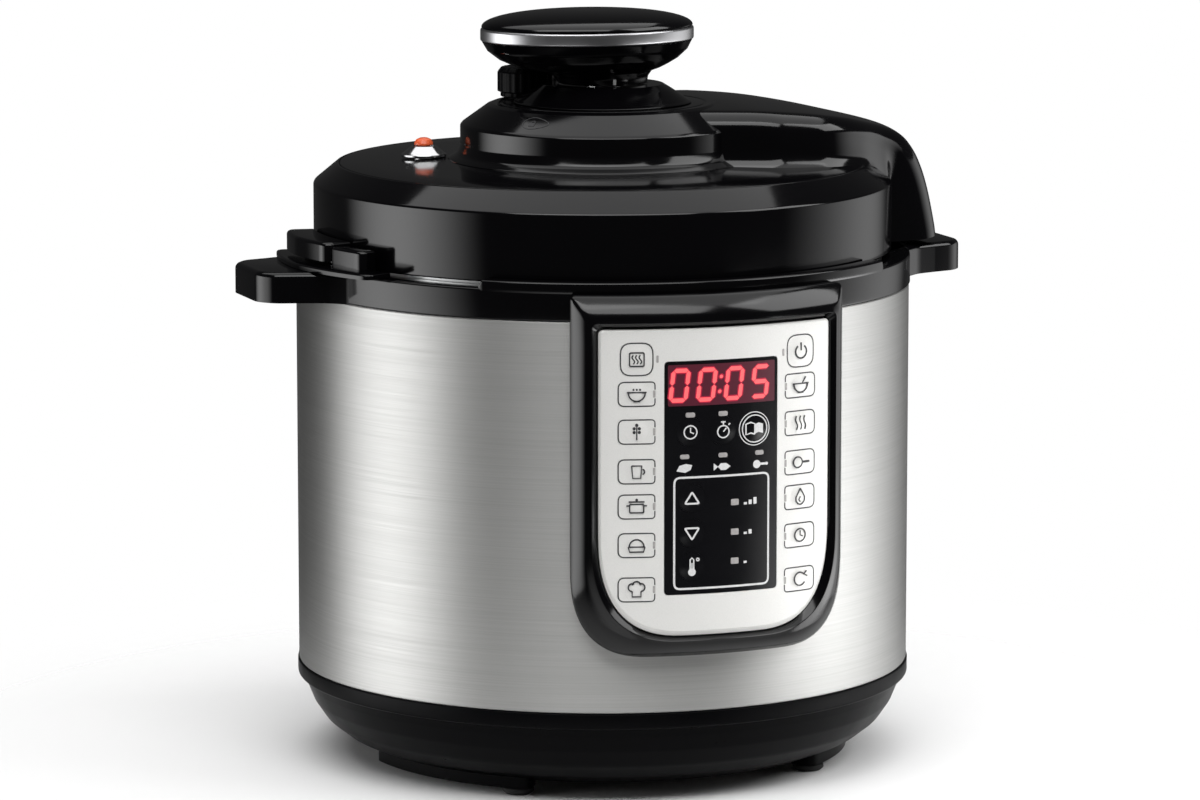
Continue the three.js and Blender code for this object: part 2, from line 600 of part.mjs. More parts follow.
function hingeArm() {
  const hub = turned([
    [0, HUB_TOP], [50.3, HUB_TOP], [HUB_R, 286], [HUB_R, 277], [65.5, 273], [HUB_FOOT_R, LID_TOP + GAP],
    [HUB_FOOT_R, 262], [0, 262],
  ]);
  const lidClearance = turned([
    [0, LID_TOP + GAP], [HUB_FOOT_R, LID_TOP + GAP], [LID_RIM_R + 0.2, LID_RIM + 0.4], [LID_R + GAP, LID_SHOULDER + 0.2],
    [LID_R + GAP, 200], [0, 200],
  ]);
  const hubHollow = turned([[0, 200], [HUB_R - 3, 200], [HUB_R - 3, 284], [48.5, HUB_TOP - 3.5],
    [0, HUB_TOP - 3.5]]);
  const hinge = HINGE_Z + BARREL_R;
  const notch = box(146, 160, -27, 27, 220, hinge + 1.5);
  const barrel = disc(BARREL_R, -BARREL_HALF_LENGTH, BARREL_HALF_LENGTH)
    .rotate([90, 0, 0]).translate([HINGE_X, 0, HINGE_Z]);
  const web = box(147.5, 151.6, -BARREL_HALF_LENGTH, BARREL_HALF_LENGTH, HINGE_Z + 1, hinge + 8);
  const bore = disc(HINGE_PIN_R + 0.05, -40, 40).rotate([90, 0, 0]).translate([HINGE_X, 0, HINGE_Z]);
  const shell = cut(join(hub, armSolid(0)), armSolid(3), hubHollow, lidClearance, notch);
  return cut(join(shell, barrel, web), bore, disc(SHAFT_R + 1, 200, 300),
    discAt(VALVE.x, VALVE.y, STEM_R + 0.5, 200, 300));
}

function lidCatch() {
  const hook = ring(LID_R + GAP, 145.5, 232.5, 241).intersect(wedge(-100, -78, 200, 200, 260));
  const skid = ring(LID_R + GAP, 137, 231, 233).intersect(wedge(-96, -80, 200, 200, 260));
  return join(hook, skid);
}

place(lid, 'lid_cover', 'glossBlack', lidCover());
place(lid, 'lid_top_panel', 'glossBlack', lidTopPanel());
place(lid, 'hinge_arm', 'glossBlack', hingeArm());
place(lid, 'lid_catch', 'glossBlack', lidCatch());

// ---------------------------------------------------------------- pressure lid and its valves

const PLATE_TOP = 230;
const PLATE_BOTTOM = 228;
const FLOAT_PIN_R = 2.8;
const FLOAT_HEAD_R = 4.3;        // the coloured button on top of the pin

function pressureLid() {
  const plate = turned([
    [0, PLATE_BOTTOM], [103, PLATE_BOTTOM], [107.6, 223.2], [107.6, 219], [109, 219], [109, 222.2], [115, 222.2],
    [115, 219], [116.3, 219], [116.3, 223.7], [109.8, 223.7], [104, PLATE_TOP], [0, PLATE_TOP],
  ], INNER_SEGMENTS);
  return cut(plate, discAt(FLOAT.x, FLOAT.y, FLOAT_PIN_R + 0.3, 200, 240), discAt(VALVE.x, VALVE.y, 3, 200, 240));
}

const sealingGasket = () => turned([
  [109.4, 217.6], [110.6, 216.4], [113.4, 216.4], [114.6, 217.6], [114.6, 221.9], [109.4, 221.9],
], INNER_SEGMENTS);

function valveShield() {
  const cup = turned([[0, 218.5], [13, 218.5], [14, 219.5], [14, PLATE_BOTTOM - GAP], [12.6, PLATE_BOTTOM - GAP],
    [12.6, 220], [0, 220]], SMALL_SEGMENTS);
  const slots = [0, 60, 120].map((turn) => box(-20, 20, -1.5, 1.5, 221.5, 226).rotate([0, 0, turn]));
  return cut(cup, ...slots).translate([VALVE.x, VALVE.y, 0]);
}

const floatCollar = () => turned([
  [FLOAT_PIN_R + 0.4, 264.5], [4.8, 264.5], [4.8, LID_TOP + GAP], [10.2, LID_TOP + GAP], [10.2, 271.7],
  [5.7, 275], [FLOAT_HEAD_R + 0.4, 275], [FLOAT_HEAD_R + 0.4, 270.1], [FLOAT_PIN_R + 0.4, 270.1],
], SMALL_SEGMENTS).translate([FLOAT.x, FLOAT.y, 0]);

const floatPin = () => turned([
  [0, 226.3], [5.2, 226.3], [5.2, PLATE_BOTTOM - GAP], [FLOAT_PIN_R, PLATE_BOTTOM - GAP], [FLOAT_PIN_R, 275.2],
  [FLOAT_HEAD_R, 275.2], [FLOAT_HEAD_R, 276.2], [3.4, 277.8], [0, 278.6],
], SMALL_SEGMENTS).translate([FLOAT.x, FLOAT.y, 0]);

const valveCap = () => turned([
  [0, PLATE_TOP + GAP], [STEM_R, PLATE_TOP + GAP], [STEM_R, HUB_TOP + 0.5], [12.6, HUB_TOP + 0.5], [12.6, 297.7],
  [14, 297.9], [14, 306.8], [12.2, 308.9], [0, 309.3],
], 20).translate([VALVE.x, VALVE.y, 0]);

place(lid, 'pressure_lid', 'bareSteel', pressureLid());
place(lid, 'sealing_gasket', 'silicone', sealingGasket());
place(lid, 'valve_shield', 'bareSteel', valveShield());
place(lid, 'float_collar', 'chrome', floatCollar());
place(lid, 'float_pin', 'pinRed', floatPin());
place(lid, 'release_valve', 'satinBlack', valveCap());

// ---------------------------------------------------------------- locking knob

function knobSeat() {
  const seat = turned([
    [SHAFT_R + 1, HUB_TOP + GAP], [40.6, HUB_TOP + GAP], [38.5, 296.6], [30, 302.2], [26.4, 303.6],
    [SHAFT_R + 1, 303.6],
  ], INNER_SEGMENTS);
  return cut(seat, discAt(VALVE.x, VALVE.y, 14.6, 290, 320));
}

function oval(z, centre, halfLength, halfWidth, count = 28) {
  const points = [];
  for (let i = 0; i < count; i += 1) {
    const angle = (i / count) * Math.PI * 2;
    points.push([centre + halfLength * Math.cos(angle), halfWidth * Math.sin(angle), z]);
  }
  return points;
}

// The neck is round at the foot and opens into the oval, off-centre grip.
function knobGrip() {
  const stations = [[304, 0, 20, 20], [307.5, -0.8, 21.5, 20.5], [309.6, -3.2, 26, 21.5], [311.2, -5.6, 33.5, 25],
    [315, -6.6, 41.2, 31], [319, -7.1, 46, 35.3], [KNOB_BAND_BOTTOM - GAP, KNOB_OFFSET_X, KNOB_HALF_LENGTH - 0.8, 37.4]];
  const body = loft(stations.map(([z, centre, a, b]) => oval(z, centre, a, b)));
  return cut(body, disc(SHAFT_R + 0.3, 290, 312));
}

function knobBand() {
  const outer = loft([KNOB_BAND_BOTTOM, KNOB_BAND_TOP].map((z) =>
    oval(z, KNOB_OFFSET_X, KNOB_HALF_LENGTH, KNOB_HALF_WIDTH)));
  const inner = loft([KNOB_BAND_BOTTOM - 1, KNOB_BAND_TOP + 1].map((z) =>
    oval(z, KNOB_OFFSET_X, KNOB_HALF_LENGTH - 2.5, KNOB_HALF_WIDTH - 2.5)));
  return cut(outer, inner);
}

function knobCap() {
  const spigot = loft([KNOB_BAND_BOTTOM, KNOB_BAND_TOP + 1].map((z) =>
    oval(z, KNOB_OFFSET_X, KNOB_HALF_LENGTH - 2.9, KNOB_HALF_WIDTH - 2.9)));
  const rise = KNOB_TOP - KNOB_BAND_TOP - GAP;
  const dome = loft([0, 0.15, 0.45, 0.75, 0.92, 1].map((share, i) => {
    const spread = i === 0 ? 0.985 : Math.sqrt(1 - share * share * 0.985);
    return oval(KNOB_BAND_TOP + GAP + rise * share, KNOB_OFFSET_X, KNOB_HALF_LENGTH * spread,
      KNOB_HALF_WIDTH * spread);
  }));
  return join(spigot, dome);
}

const LOCK = { ringInner: 111.2, ringOuter: 116, lugR: 122.3, bottom: 224.2, lugBottom: 231, lugTop: 235.5, top: 239 };
const SPIDER_TURN = 10;          // degrees: keeps the spokes clear of the valves over the knob's whole turn

function lockSpider() {
  const rim = ring(LOCK.ringInner, LOCK.ringOuter, LOCK.bottom, LOCK.top, INNER_SEGMENTS);
  const lugRing = ring(LOCK.ringInner + 2, LOCK.lugR, LOCK.lugBottom, LOCK.lugTop, INNER_SEGMENTS);
  const lugs = [];
  for (let i = 0; i < TAB_COUNT; i += 1) {
    const middle = (360 / TAB_COUNT) * (i + 0.5);
    lugs.push(lugRing.intersect(wedge(middle - LUG_ANGLE / 2, middle + LUG_ANGLE / 2, 200, 200, 260)));
  }
  const spokes = [0, 90].map((turn) =>
    box(-112, 112, -5, 5, LOCK.lugTop, LOCK.top).rotate([0, 0, turn + SPIDER_TURN]));
  const shaft = disc(SHAFT_R, PLATE_TOP + GAP, 311.6);
  return join(rim, ...lugs, ...spokes, shaft);
}

place(lid, 'knob_seat', 'glossBlack', knobSeat());
place(lid, 'knob_grip', 'glossBlack', knobGrip());
place(lid, 'knob_band', 'chrome', knobBand());
place(lid, 'knob_cap', 'glossBlack', knobCap());
place(lid, 'lock_spider', 'bareSteel', lockSpider());

export default cooker;
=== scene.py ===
"""Electric pressure cooker: the visible surfaces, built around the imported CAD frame.

Lengths in this script are millimetres and are turned into metres when a mesh is made.
The panel faces -Y, the lid hinges at +X, and angles are azimuths from the front (-Y) towards +X.
"""

import math

import bmesh
import bpy
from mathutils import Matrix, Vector


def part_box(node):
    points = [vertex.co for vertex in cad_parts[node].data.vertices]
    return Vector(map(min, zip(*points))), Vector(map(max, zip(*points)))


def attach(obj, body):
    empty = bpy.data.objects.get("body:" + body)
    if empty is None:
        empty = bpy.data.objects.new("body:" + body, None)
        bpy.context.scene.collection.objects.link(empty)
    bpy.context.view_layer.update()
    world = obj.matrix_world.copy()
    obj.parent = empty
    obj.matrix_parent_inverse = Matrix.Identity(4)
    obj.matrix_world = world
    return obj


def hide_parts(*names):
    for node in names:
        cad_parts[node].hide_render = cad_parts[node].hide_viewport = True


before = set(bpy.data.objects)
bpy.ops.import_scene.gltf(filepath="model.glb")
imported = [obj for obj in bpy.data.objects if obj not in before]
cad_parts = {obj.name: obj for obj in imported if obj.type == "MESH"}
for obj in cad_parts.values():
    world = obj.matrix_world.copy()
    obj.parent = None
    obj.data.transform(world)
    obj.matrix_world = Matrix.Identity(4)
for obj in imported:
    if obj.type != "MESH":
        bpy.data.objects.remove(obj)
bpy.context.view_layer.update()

MM = 0.001


def node_box(name):
    """Lowest and highest corner of a CAD node, in millimetres."""
    low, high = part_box(name)
    return low / MM, high / MM


# ---------------------------------------------------------------- dimensions

sleeve_low, sleeve_high = node_box("body_sleeve")
collar_low, collar_high = node_box("upper_collar")
frame_low, frame_high = node_box("panel_frame")
cover_low, cover_high = node_box("lid_cover")
band_low, band_high = node_box("knob_band")

DRUM_R = sleeve_high.x
SLEEVE_BOTTOM = sleeve_low.z
SLEEVE_TOP = sleeve_high.z
BASE_R = node_box("base_shell")[1].x
COLLAR_R = -collar_low.y
COLLAR_TOP = 228.0
COLLAR_FRONT_TOP = collar_high.z
HANDLE_TIP = collar_high.x
HANDLE_BOTTOM = 214.6
MOUTH_R = 124.0                      # of the outer pot's mouth
PANEL_R = -frame_low.y
FASCIA_R = 148.4
KEY_BACK_R = 145.4                   # of every key's back face
LID_R = cover_high.x
LID_BOTTOM = cover_low.z
LID_SHOULDER = 259.7                 # the top of the lid's upright side
LID_RIM_R = 119.5
LID_RIM = cover_high.z
LID_TOP = node_box("lid_top_panel")[1].z
HUB_TOP = node_box("hinge_arm")[1].z
HUB_R = 64.0
HINGE_X, HINGE_Z = 151.5, 236.0
VALVE_X, VALVE_Y = -24.0, 32.0
FLOAT_X, FLOAT_Y = -74.4, 30.8
KNOB_X = (band_low.x + band_high.x) / 2
KNOB_A = (band_high.x - band_low.x) / 2
KNOB_B = (band_high.y - band_low.y) / 2
KNOB_TOP = node_box("knob_cap")[1].z

BIG, MEDIUM, SMALL = 192, 96, 48     # facets around the drum, the hub, and the valves
STRIP = 2.5                          # width of the strips that a plate on the drum bends in
SIDES = ((-1, "left"), (1, "right"))


# ---------------------------------------------------------------- materials

class Nodes:
    """A material's node tree, with short calls for the nodes that the finishes share."""

    def __init__(self, name, color, roughness, metallic=0.0):
        self.material = bpy.data.materials.new(name)
        self.material.use_nodes = True
        self.tree = self.material.node_tree
        self.shader = self.tree.nodes["Principled BSDF"]
        self.shader.inputs["Base Color"].default_value = (*color, 1)
        self.shader.inputs["Roughness"].default_value = roughness
        self.shader.inputs["Metallic"].default_value = metallic

    def add(self, kind, **settings):
        node = self.tree.nodes.new(kind)
        for key, value in settings.items():
            setattr(node, key, value)
        return node

    def link(self, source, target):
        self.tree.links.new(source, target)

    def noise(self, scale, stretch=(1, 1, 1), detail=4.0, roughness=0.55):
        """Noise over the object's own coordinates, in metres, stretched by the given factors."""
        place = self.add("ShaderNodeTexCoord")
        mapping = self.add("ShaderNodeMapping")
        mapping.inputs["Scale"].default_value = stretch
        noise = self.add("ShaderNodeTexNoise")
        noise.inputs["Scale"].default_value = scale
        noise.inputs["Detail"].default_value = detail
        noise.inputs["Roughness"].default_value = roughness
        self.link(place.outputs["Object"], mapping.inputs["Vector"])
        self.link(mapping.outputs["Vector"], noise.inputs["Vector"])
        return noise.outputs["Fac"]

    def spread(self, value, low, high, start=0.3, end=0.7):
        """Maps a 0..1 pattern onto low..high."""
        node = self.add("ShaderNodeMapRange")
        node.inputs["From Min"].default_value = start
        node.inputs["From Max"].default_value = end
        node.inputs["To Min"].default_value = low
        node.inputs["To Max"].default_value = high
        self.link(value, node.inputs["Value"])
        return node.outputs["Result"]

    def roughness(self, value, low, high):
        self.link(self.spread(value, low, high), self.shader.inputs["Roughness"])

    def tint(self, value, dark, light, start=0.3, end=0.7):
        ramp = self.add("ShaderNodeValToRGB")
        ramp.color_ramp.elements[0].position = start
        ramp.color_ramp.elements[0].color = (*dark, 1)
        ramp.color_ramp.elements[1].position = end
        ramp.color_ramp.elements[1].color = (*light, 1)
        self.link(value, ramp.inputs["Fac"])
        self.link(ramp.outputs["Color"], self.shader.inputs["Base Color"])

    def bump(self, value, distance, strength=1.0):
        node = self.add("ShaderNodeBump")
        node.inputs["Strength"].default_value = strength
        node.inputs["Distance"].default_value = distance
        self.link(value, node.inputs["Height"])
        self.link(node.outputs["Normal"], self.shader.inputs["Normal"])


def coat(name, color, metallic, rough, relief=None, ior=1.5):
    """A finish whose roughness and relief wander over it.

    rough is (noise scale, detail, low, high), and relief is (noise scale, detail, distance, strength).
    """
    scale, detail, low, high = rough
    made = Nodes(name, color, (low + high) / 2, metallic)
    made.shader.inputs["IOR"].default_value = ior
    made.roughness(made.noise(scale, detail=detail), low, high)
    if relief:
        scale, detail, distance, strength = relief
        made.bump(made.noise(scale, detail=detail), distance, strength)
    return made


def gloss_black():
    """Moulded gloss plastic: deep black with a faint flow ripple and patches of handling haze."""
    colour = (0.0014, 0.0013, 0.0017)
    return coat("gloss_black", colour, 0, (18, 5, 0.08, 0.14), (55, 2, 0.00005, 0.2), 1.4).material


def satin_black():
    colour = (0.002, 0.002, 0.0024)
    return coat("satin_black", colour, 0, (40, 6, 0.27, 0.4), (1800, 3, 0.00004, 0.5), 1.12).material


def brushed_steel():
    """Stainless sheet brushed around the drum: fine level streaks in colour, roughness and relief."""
    made = Nodes("brushed_steel", (0.6, 0.6, 0.58), 0.34, 1.0)
    fine = made.noise(9, (1, 1, 190), detail=7, roughness=0.7)
    made.tint(fine, (0.42, 0.42, 0.41), (0.49, 0.49, 0.48), 0.32, 0.68)
    made.roughness(made.noise(5, (1, 1, 420), detail=6, roughness=0.65), 0.46, 0.54)
    made.bump(made.noise(6, (1, 1, 700), detail=5, roughness=0.7), 0.00002, 0.3)
    made.shader.inputs["Anisotropic"].default_value = 0.7
    made.shader.inputs["Anisotropic Rotation"].default_value = 0.25
    tangent = made.add("ShaderNodeTangent", direction_type="RADIAL", axis="Z")
    made.link(tangent.outputs["Tangent"], made.shader.inputs["Tangent"])
    return made.material


def bare_steel():
    made = Nodes("bare_steel", (0.52, 0.53, 0.53), 0.3, 1.0)
    made.roughness(made.noise(30, (1, 1, 6), detail=6), 0.22, 0.38)
    made.bump(made.noise(300, (1, 1, 5), detail=4), 0.00003, 0.3)
    return made.material


def chrome():
    return coat("chrome", (0.6, 0.6, 0.61), 1, (60, 5, 0.1, 0.16), (90, 2, 0.00002, 0.2)).material


def knob_metal():
    """The band around the knob: a softer, darker plating than the valve's."""
    return coat("knob_metal", (0.4, 0.4, 0.41), 1, (60, 5, 0.27, 0.34), (90, 2, 0.00002, 0.2)).material


FLAKE = ((0.83, 0.825, 0.80), (0.89, 0.885, 0.86))


def silver_fascia():
    """Metallic silver lacquer: a fine flake with a slow variation over it."""
    made = coat("silver_fascia", FLAKE[0], 0.1, (25, 6, 0.38, 0.48), (3000, 2, 0.00001, 0.3))
    made.tint(made.noise(2600, detail=2), *FLAKE)
    return made.material


def key_cap():
    made = coat("key_cap", FLAKE[0], 0.1, (60, 5, 0.34, 0.44))
    made.tint(made.noise(2600, detail=2), *FLAKE)
    return made.material


def window_black():
    colour = (0.004, 0.004, 0.005)
    return coat("window_black", colour, 0, (35, 5, 0.12, 0.22), (70, 2, 0.00003, 0.2)).material


def cast_aluminium():
    colour = (0.45, 0.46, 0.47)
    return coat("cast_aluminium", colour, 0.9, (80, 7, 0.4, 0.6), (700, 5, 0.0001, 0.5)).material


def pot_grey():
    """Dark speckled non-stick coating."""
    made = coat("pot_grey", (0.06, 0.06, 0.063), 0, (40, 5, 0.34, 0.5), (1200, 3, 0.00003, 0.5))
    made.tint(made.noise(900, detail=2), (0.045, 0.045, 0.047), (0.11, 0.11, 0.115), 0.5, 0.68)
    return made.material


def rubber_black():
    colour = (0.012, 0.012, 0.012)
    return coat("rubber_black", colour, 0, (200, 6, 0.7, 0.9), (900, 4, 0.00008, 0.6)).material


def silicone():
    made = coat("silicone", (0.7, 0.7, 0.69), 0, (120, 4, 0.42, 0.6), (500, 3, 0.00005, 0.4))
    made.shader.inputs["Subsurface Weight"].default_value = 0.2
    return made.material


def circuit_board():
    made = Nodes("circuit_board", (0.01, 0.08, 0.03), 0.45)
    made.tint(made.noise(180, detail=1), (0.008, 0.06, 0.025), (0.02, 0.14, 0.05), 0.48, 0.52)
    made.bump(made.noise(180, detail=1), 0.00005, 0.4)
    return made.material


def pin_red():
    made = coat("pin_red", (0.75, 0.11, 0.035), 0, (150, 3, 0.25, 0.4))
    made.tint(made.noise(250, detail=3), (0.68, 0.09, 0.03), (0.82, 0.14, 0.045))
    return made.material


def speckled(name, roughness, scale, dark, light):
    """A flat coat whose colour wanders a little between two tones."""
    made = Nodes(name, light, roughness)
    made.tint(made.noise(scale, detail=3), dark, light)
    return made.material


def printed_ink():
    """The dark grey ink of the key outlines and icons."""
    return speckled("printed_ink", 0.5, 1500, (0.02, 0.02, 0.022), (0.045, 0.045, 0.05))


def printed_white():
    return speckled("printed_white", 0.45, 1500, (0.7, 0.7, 0.7), (0.82, 0.82, 0.82))


def led_lens():
    """An unlit indicator: milky grey plastic."""
    return speckled("led_lens", 0.35, 700, (0.36, 0.345, 0.34), (0.47, 0.45, 0.44))


def engraved():
    return speckled("engraved", 0.45, 1200, (0.016, 0.016, 0.018), (0.03, 0.03, 0.032))


def lit(name, strength, dark, light):
    """A lit surface behind a fine diffuser."""
    made = Nodes(name, dark, 0.4)
    made.shader.inputs["Emission Strength"].default_value = strength
    ramp = made.add("ShaderNodeValToRGB")
    ramp.color_ramp.elements[0].color = (*dark, 1)
    ramp.color_ramp.elements[1].color = (*light, 1)
    made.link(made.noise(1600, detail=2), ramp.inputs["Fac"])
    made.link(ramp.outputs["Color"], made.shader.inputs["Emission Color"])
    return made.material


def led_red():
    return lit("led_red", 1.0, (0.72, 0.075, 0.085), (0.82, 0.14, 0.14))


def led_glow():
    """The light that spills around each lit bar."""
    return lit("led_glow", 1.0, (0.2, 0.006, 0.022), (0.3, 0.012, 0.034))


def smoked_pane_painted_glow():
    """The smoked red pane that the digits shine through. Its dark red tint is its own colour, and its faint
    red emission is a painted glow standing in for the digits' light spread through it.
    """
    return lit("smoked_pane_painted_glow", 1.0, (0.04, 0.004, 0.01), (0.06, 0.006, 0.015))


MAKERS = (gloss_black, satin_black, brushed_steel, bare_steel, chrome, knob_metal, silver_fascia,
          key_cap, window_black, cast_aluminium, pot_grey, rubber_black, silicone, circuit_board,
          pin_red, printed_ink, printed_white, led_lens, engraved, led_red, led_glow, smoked_pane_painted_glow)
MATERIALS = {make.__name__: make() for make in MAKERS}


# ---------------------------------------------------------------- mesh helpers

def add_piece(name, mesh_data, finish, body, replaces=(), slot=None, sharp=35.0):
    """Makes an object of a bmesh in millimetres, and puts it on its CAD body."""
    bmesh.ops.scale(mesh_data, vec=(MM, MM, MM), verts=mesh_data.verts)
    bmesh.ops.recalc_face_normals(mesh_data, faces=mesh_data.faces)
    mesh = bpy.data.meshes.new(name)
    mesh_data.to_mesh(mesh)
    mesh_data.free()
    mesh.polygons.foreach_set("use_smooth", [True] * len(mesh.polygons))
    mesh.set_sharp_from_angle(angle=math.radians(sharp))
    mesh.materials.append(MATERIALS[finish])
    piece = bpy.data.objects.new(name, mesh)
    bpy.context.scene.collection.objects.link(piece)
    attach(piece, body)
    if replaces:
        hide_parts(*replaces)
    slot = slot or finish
    return piece


def arc_corner(before, corner, after, radius, steps):
    """Points of a fillet at a corner of a polyline."""
    corner = Vector(corner)
    a = Vector(before) - corner
    b = Vector(after) - corner
    reach = min(radius / math.tan(a.angle(b) / 2), a.length * 0.49, b.length * 0.49)
    start = corner + a.normalized() * reach
    end = corner + b.normalized() * reach
    points = []
    for i in range(steps + 1):
        t = i / steps
        points.append(start.lerp(corner, t).lerp(corner.lerp(end, t), t))
    return points


def rounded(points, closed=True, steps=4):
    """A polyline of (x, y) or (x, y, fillet radius), with each fillet drawn as a curve."""
    out = []
    count = len(points)
    for i, point in enumerate(points):
        radius = point[2] if len(point) > 2 else 0
        inner = closed or 0 < i < count - 1
        if radius and inner:
            before = points[(i - 1) % count][:2]
            after = points[(i + 1) % count][:2]
            out.extend(arc_corner(before, point[:2], after, radius, steps))
        else:
            out.append(Vector(point[:2]))
    return out


def grid_skin(mesh_data, rows, closed_across, closed_along=False):
    """Quads over rows of points. Each row runs across, and rows follow one another along."""
    made = [[mesh_data.verts.new(point) for point in row] for row in rows]
    across = len(made[0])
    along = len(made)
    for j in range(along if closed_along else along - 1):
        low, high = made[j], made[(j + 1) % along]
        for i in range(across if closed_across else across - 1):
            k = (i + 1) % across
            mesh_data.faces.new((low[i], low[k], high[k], high[i]))
    return made


def turned(profile, segments=BIG, centre=(0, 0), flutes=0, flute_depth=0.0, steps=4):
    """A body of revolution about a vertical axis, from a closed (radius, height) loop off the axis.

    Flutes are shallow scallops around every wall that is wider than the loop's middle radius.
    """
    loop = rounded(profile, True, steps)
    bm = bmesh.new()
    middle = sum(point.x for point in loop) / len(loop)
    rows = []
    for i in range(segments):
        angle = 2 * math.pi * i / segments
        dent = flute_depth * (0.5 - 0.5 * math.cos(flutes * angle)) if flutes else 0
        row = []
        for r, z in loop:
            r = r - dent if r > middle else r
            row.append((centre[0] + r * math.sin(angle), centre[1] - r * math.cos(angle), z))
        rows.append(row)
    grid_skin(bm, rows, True, True)
    return bm


def solid_turned(profile, segments=BIG, centre=(0, 0), steps=4):
    """A body of revolution from an open profile that starts and ends on the axis (radius 0)."""
    line = rounded(profile, False, steps)
    bm = bmesh.new()
    turns = [2 * math.pi * i / segments for i in range(segments)]
    rows = [[(centre[0] + r * math.sin(a), centre[1] - r * math.cos(a), z) for a in turns]
            for r, z in line[1:-1]]
    made = grid_skin(bm, rows, True)
    for row, (_, z) in ((made[0], line[0]), (made[-1], line[-1])):
        tip = bm.verts.new((centre[0], centre[1], z))
        for i in range(segments):
            bm.faces.new((row[i], row[(i + 1) % segments], tip))
    return bm


def lofted(rows):
    """A skin through closed rings of points, capped at both ends."""
    bm = bmesh.new()
    made = grid_skin(bm, rows, True)
    for row in (made[0], made[-1]):
        bm.faces.new(row)
    return bm


def inset_loop(loop, amount):
    """Moves a closed anticlockwise loop inwards by an amount (outwards if negative)."""
    count = len(loop)
    out = []
    for i in range(count):
        a, b, c = loop[i - 1], loop[i], loop[(i + 1) % count]
        u = (b - a).normalized()
        v = (c - b).normalized()
        n = Vector((-u.y - v.y, u.x + v.x))
        if n.length < 1e-6:
            n = Vector((-u.y, u.x))
        n.normalize()
        spread = max(0.35, n.dot(Vector((-u.y, u.x))))
        out.append(b + n * (amount / spread))
    return out


def area_of(loop):
    return 0.5 * sum(loop[i - 1].x * loop[i].y - loop[i].x * loop[i - 1].y for i in range(len(loop)))


def anticlockwise(loop):
    loop = [Vector(point[:2]) for point in loop]
    return loop if area_of(loop) > 0 else loop[::-1]


def flat_plate(bm, outer, holes, depth, edge, steps=3):
    """Adds a plate in the XY plane, from height 0 to depth, with its upper edges rounded by edge."""
    levels = [(0.0, 0.0), (0.0, depth - edge)]
    for i in range(1, steps + 1):
        a = math.pi / 2 * i / steps
        levels.append((edge * (1 - math.cos(a)), depth - edge + edge * math.sin(a)))
    if edge <= 0:
        levels = [(0.0, 0.0), (0.0, depth)]
    tops, bottoms = [], []
    for loop, sign in [(outer, 1)] + [(hole, -1) for hole in holes]:
        loop = anticlockwise(loop)
        rows = [[(p.x, p.y, z) for p in inset_loop(loop, sign * inset)] for inset, z in levels]
        made = grid_skin(bm, rows, True)
        tops.append(made[-1])
        bottoms.append(made[0])
    for rings in (tops, bottoms):
        edges = []
        for ring in rings:
            for i in range(len(ring)):
                edges.append(bm.edges.get((ring[i - 1], ring[i])))
        if len(rings) == 1:
            bm.faces.new(rings[0])
        else:
            bmesh.ops.triangle_fill(bm, use_beauty=True, edges=edges)


def slab(outline, depth, edge, steps=3, holes=()):
    """One plate on its own: see flat_plate."""
    bm = bmesh.new()
    flat_plate(bm, outline, holes, depth, edge, steps)
    return bm


def shifted(bm, x, y, z):
    bmesh.ops.translate(bm, vec=(x, y, z), verts=bm.verts)
    return bm


def sliced(bm, low, high, steps):
    """Cuts a plate into upright strips between two places along X, so that it can bend."""
    for i in range(1, steps):
        at = low + (high - low) * i / steps
        bmesh.ops.bisect_plane(bm, geom=bm.verts[:] + bm.edges[:] + bm.faces[:], dist=1e-5,
                               plane_co=(at, 0, 0), plane_no=(1, 0, 0))


def placed(bm, place):
    """Moves every vertex to place(x, y, z)."""
    for v in bm.verts:
        v.co = Vector(place(*v.co))
    return bm


def polar(r, turn, z):
    """The point at a radius and an angle in radians from the front."""
    return (r * math.sin(turn), -r * math.cos(turn), z)


def bend_to_drum(bm, back_r, angle, pitch_r=FASCIA_R):
    """Wraps plates drawn flat as (arc length, height, depth) around the drum."""
    low = min(v.co.x for v in bm.verts)
    high = max(v.co.x for v in bm.verts)
    sliced(bm, low, high, int((high - low) / STRIP) + 1)
    return placed(bm, lambda s, z, depth: polar(back_r + depth, math.radians(angle) + s / pitch_r, z))


def bend_flat_arc(bm, angle, bottom, pitch):
    """Bends a level plate, drawn as (arc length, radius, depth), around the vertical axis."""
    reach = max(abs(v.co.x) for v in bm.verts)
    sliced(bm, -reach, reach, max(2, int(reach * 2 / STRIP)))
    return placed(bm, lambda s, r, depth: polar(r, math.radians(angle) + s / pitch, bottom + depth))


def level_plate(outline, depth, edge, steps, angle, bottom, pitch):
    """A level plate on the rim, from an outline in (arc length, radius)."""
    return bend_flat_arc(slab(outline, depth, edge, steps), angle, bottom, pitch)


def panel_plate(shapes, back_r, depth, edge, angle=0.0, height=0.0):
    """Plates on the drum. Each shape is (outline, holes), in (arc length, height) about the given place."""
    bm = bmesh.new()
    for outer, holes in shapes:
        flat_plate(bm, outer, holes, depth, edge)
    return bend_to_drum(shifted(bm, 0, height, 0), back_r, angle)


# ---------------------------------------------------------------- outlines

def rounded_box(half_width, low, high, radius, steps=5):
    return rounded([(-half_width, low, radius), (half_width, low, radius), (half_width, high, radius),
                    (-half_width, high, radius)], True, steps)


def circle(radius, x=0.0, y=0.0, count=28, start=0.0, end=360.0):
    closed = abs(end - start) >= 360
    steps = count if closed else count - 1
    turns = [math.radians(start + (end - start) * i / steps) for i in range(count)]
    return [Vector((x + radius * math.cos(a), y + radius * math.sin(a))) for a in turns]


CORNER_POWER = 2.6                   # of the superellipses at the panel's lower corners


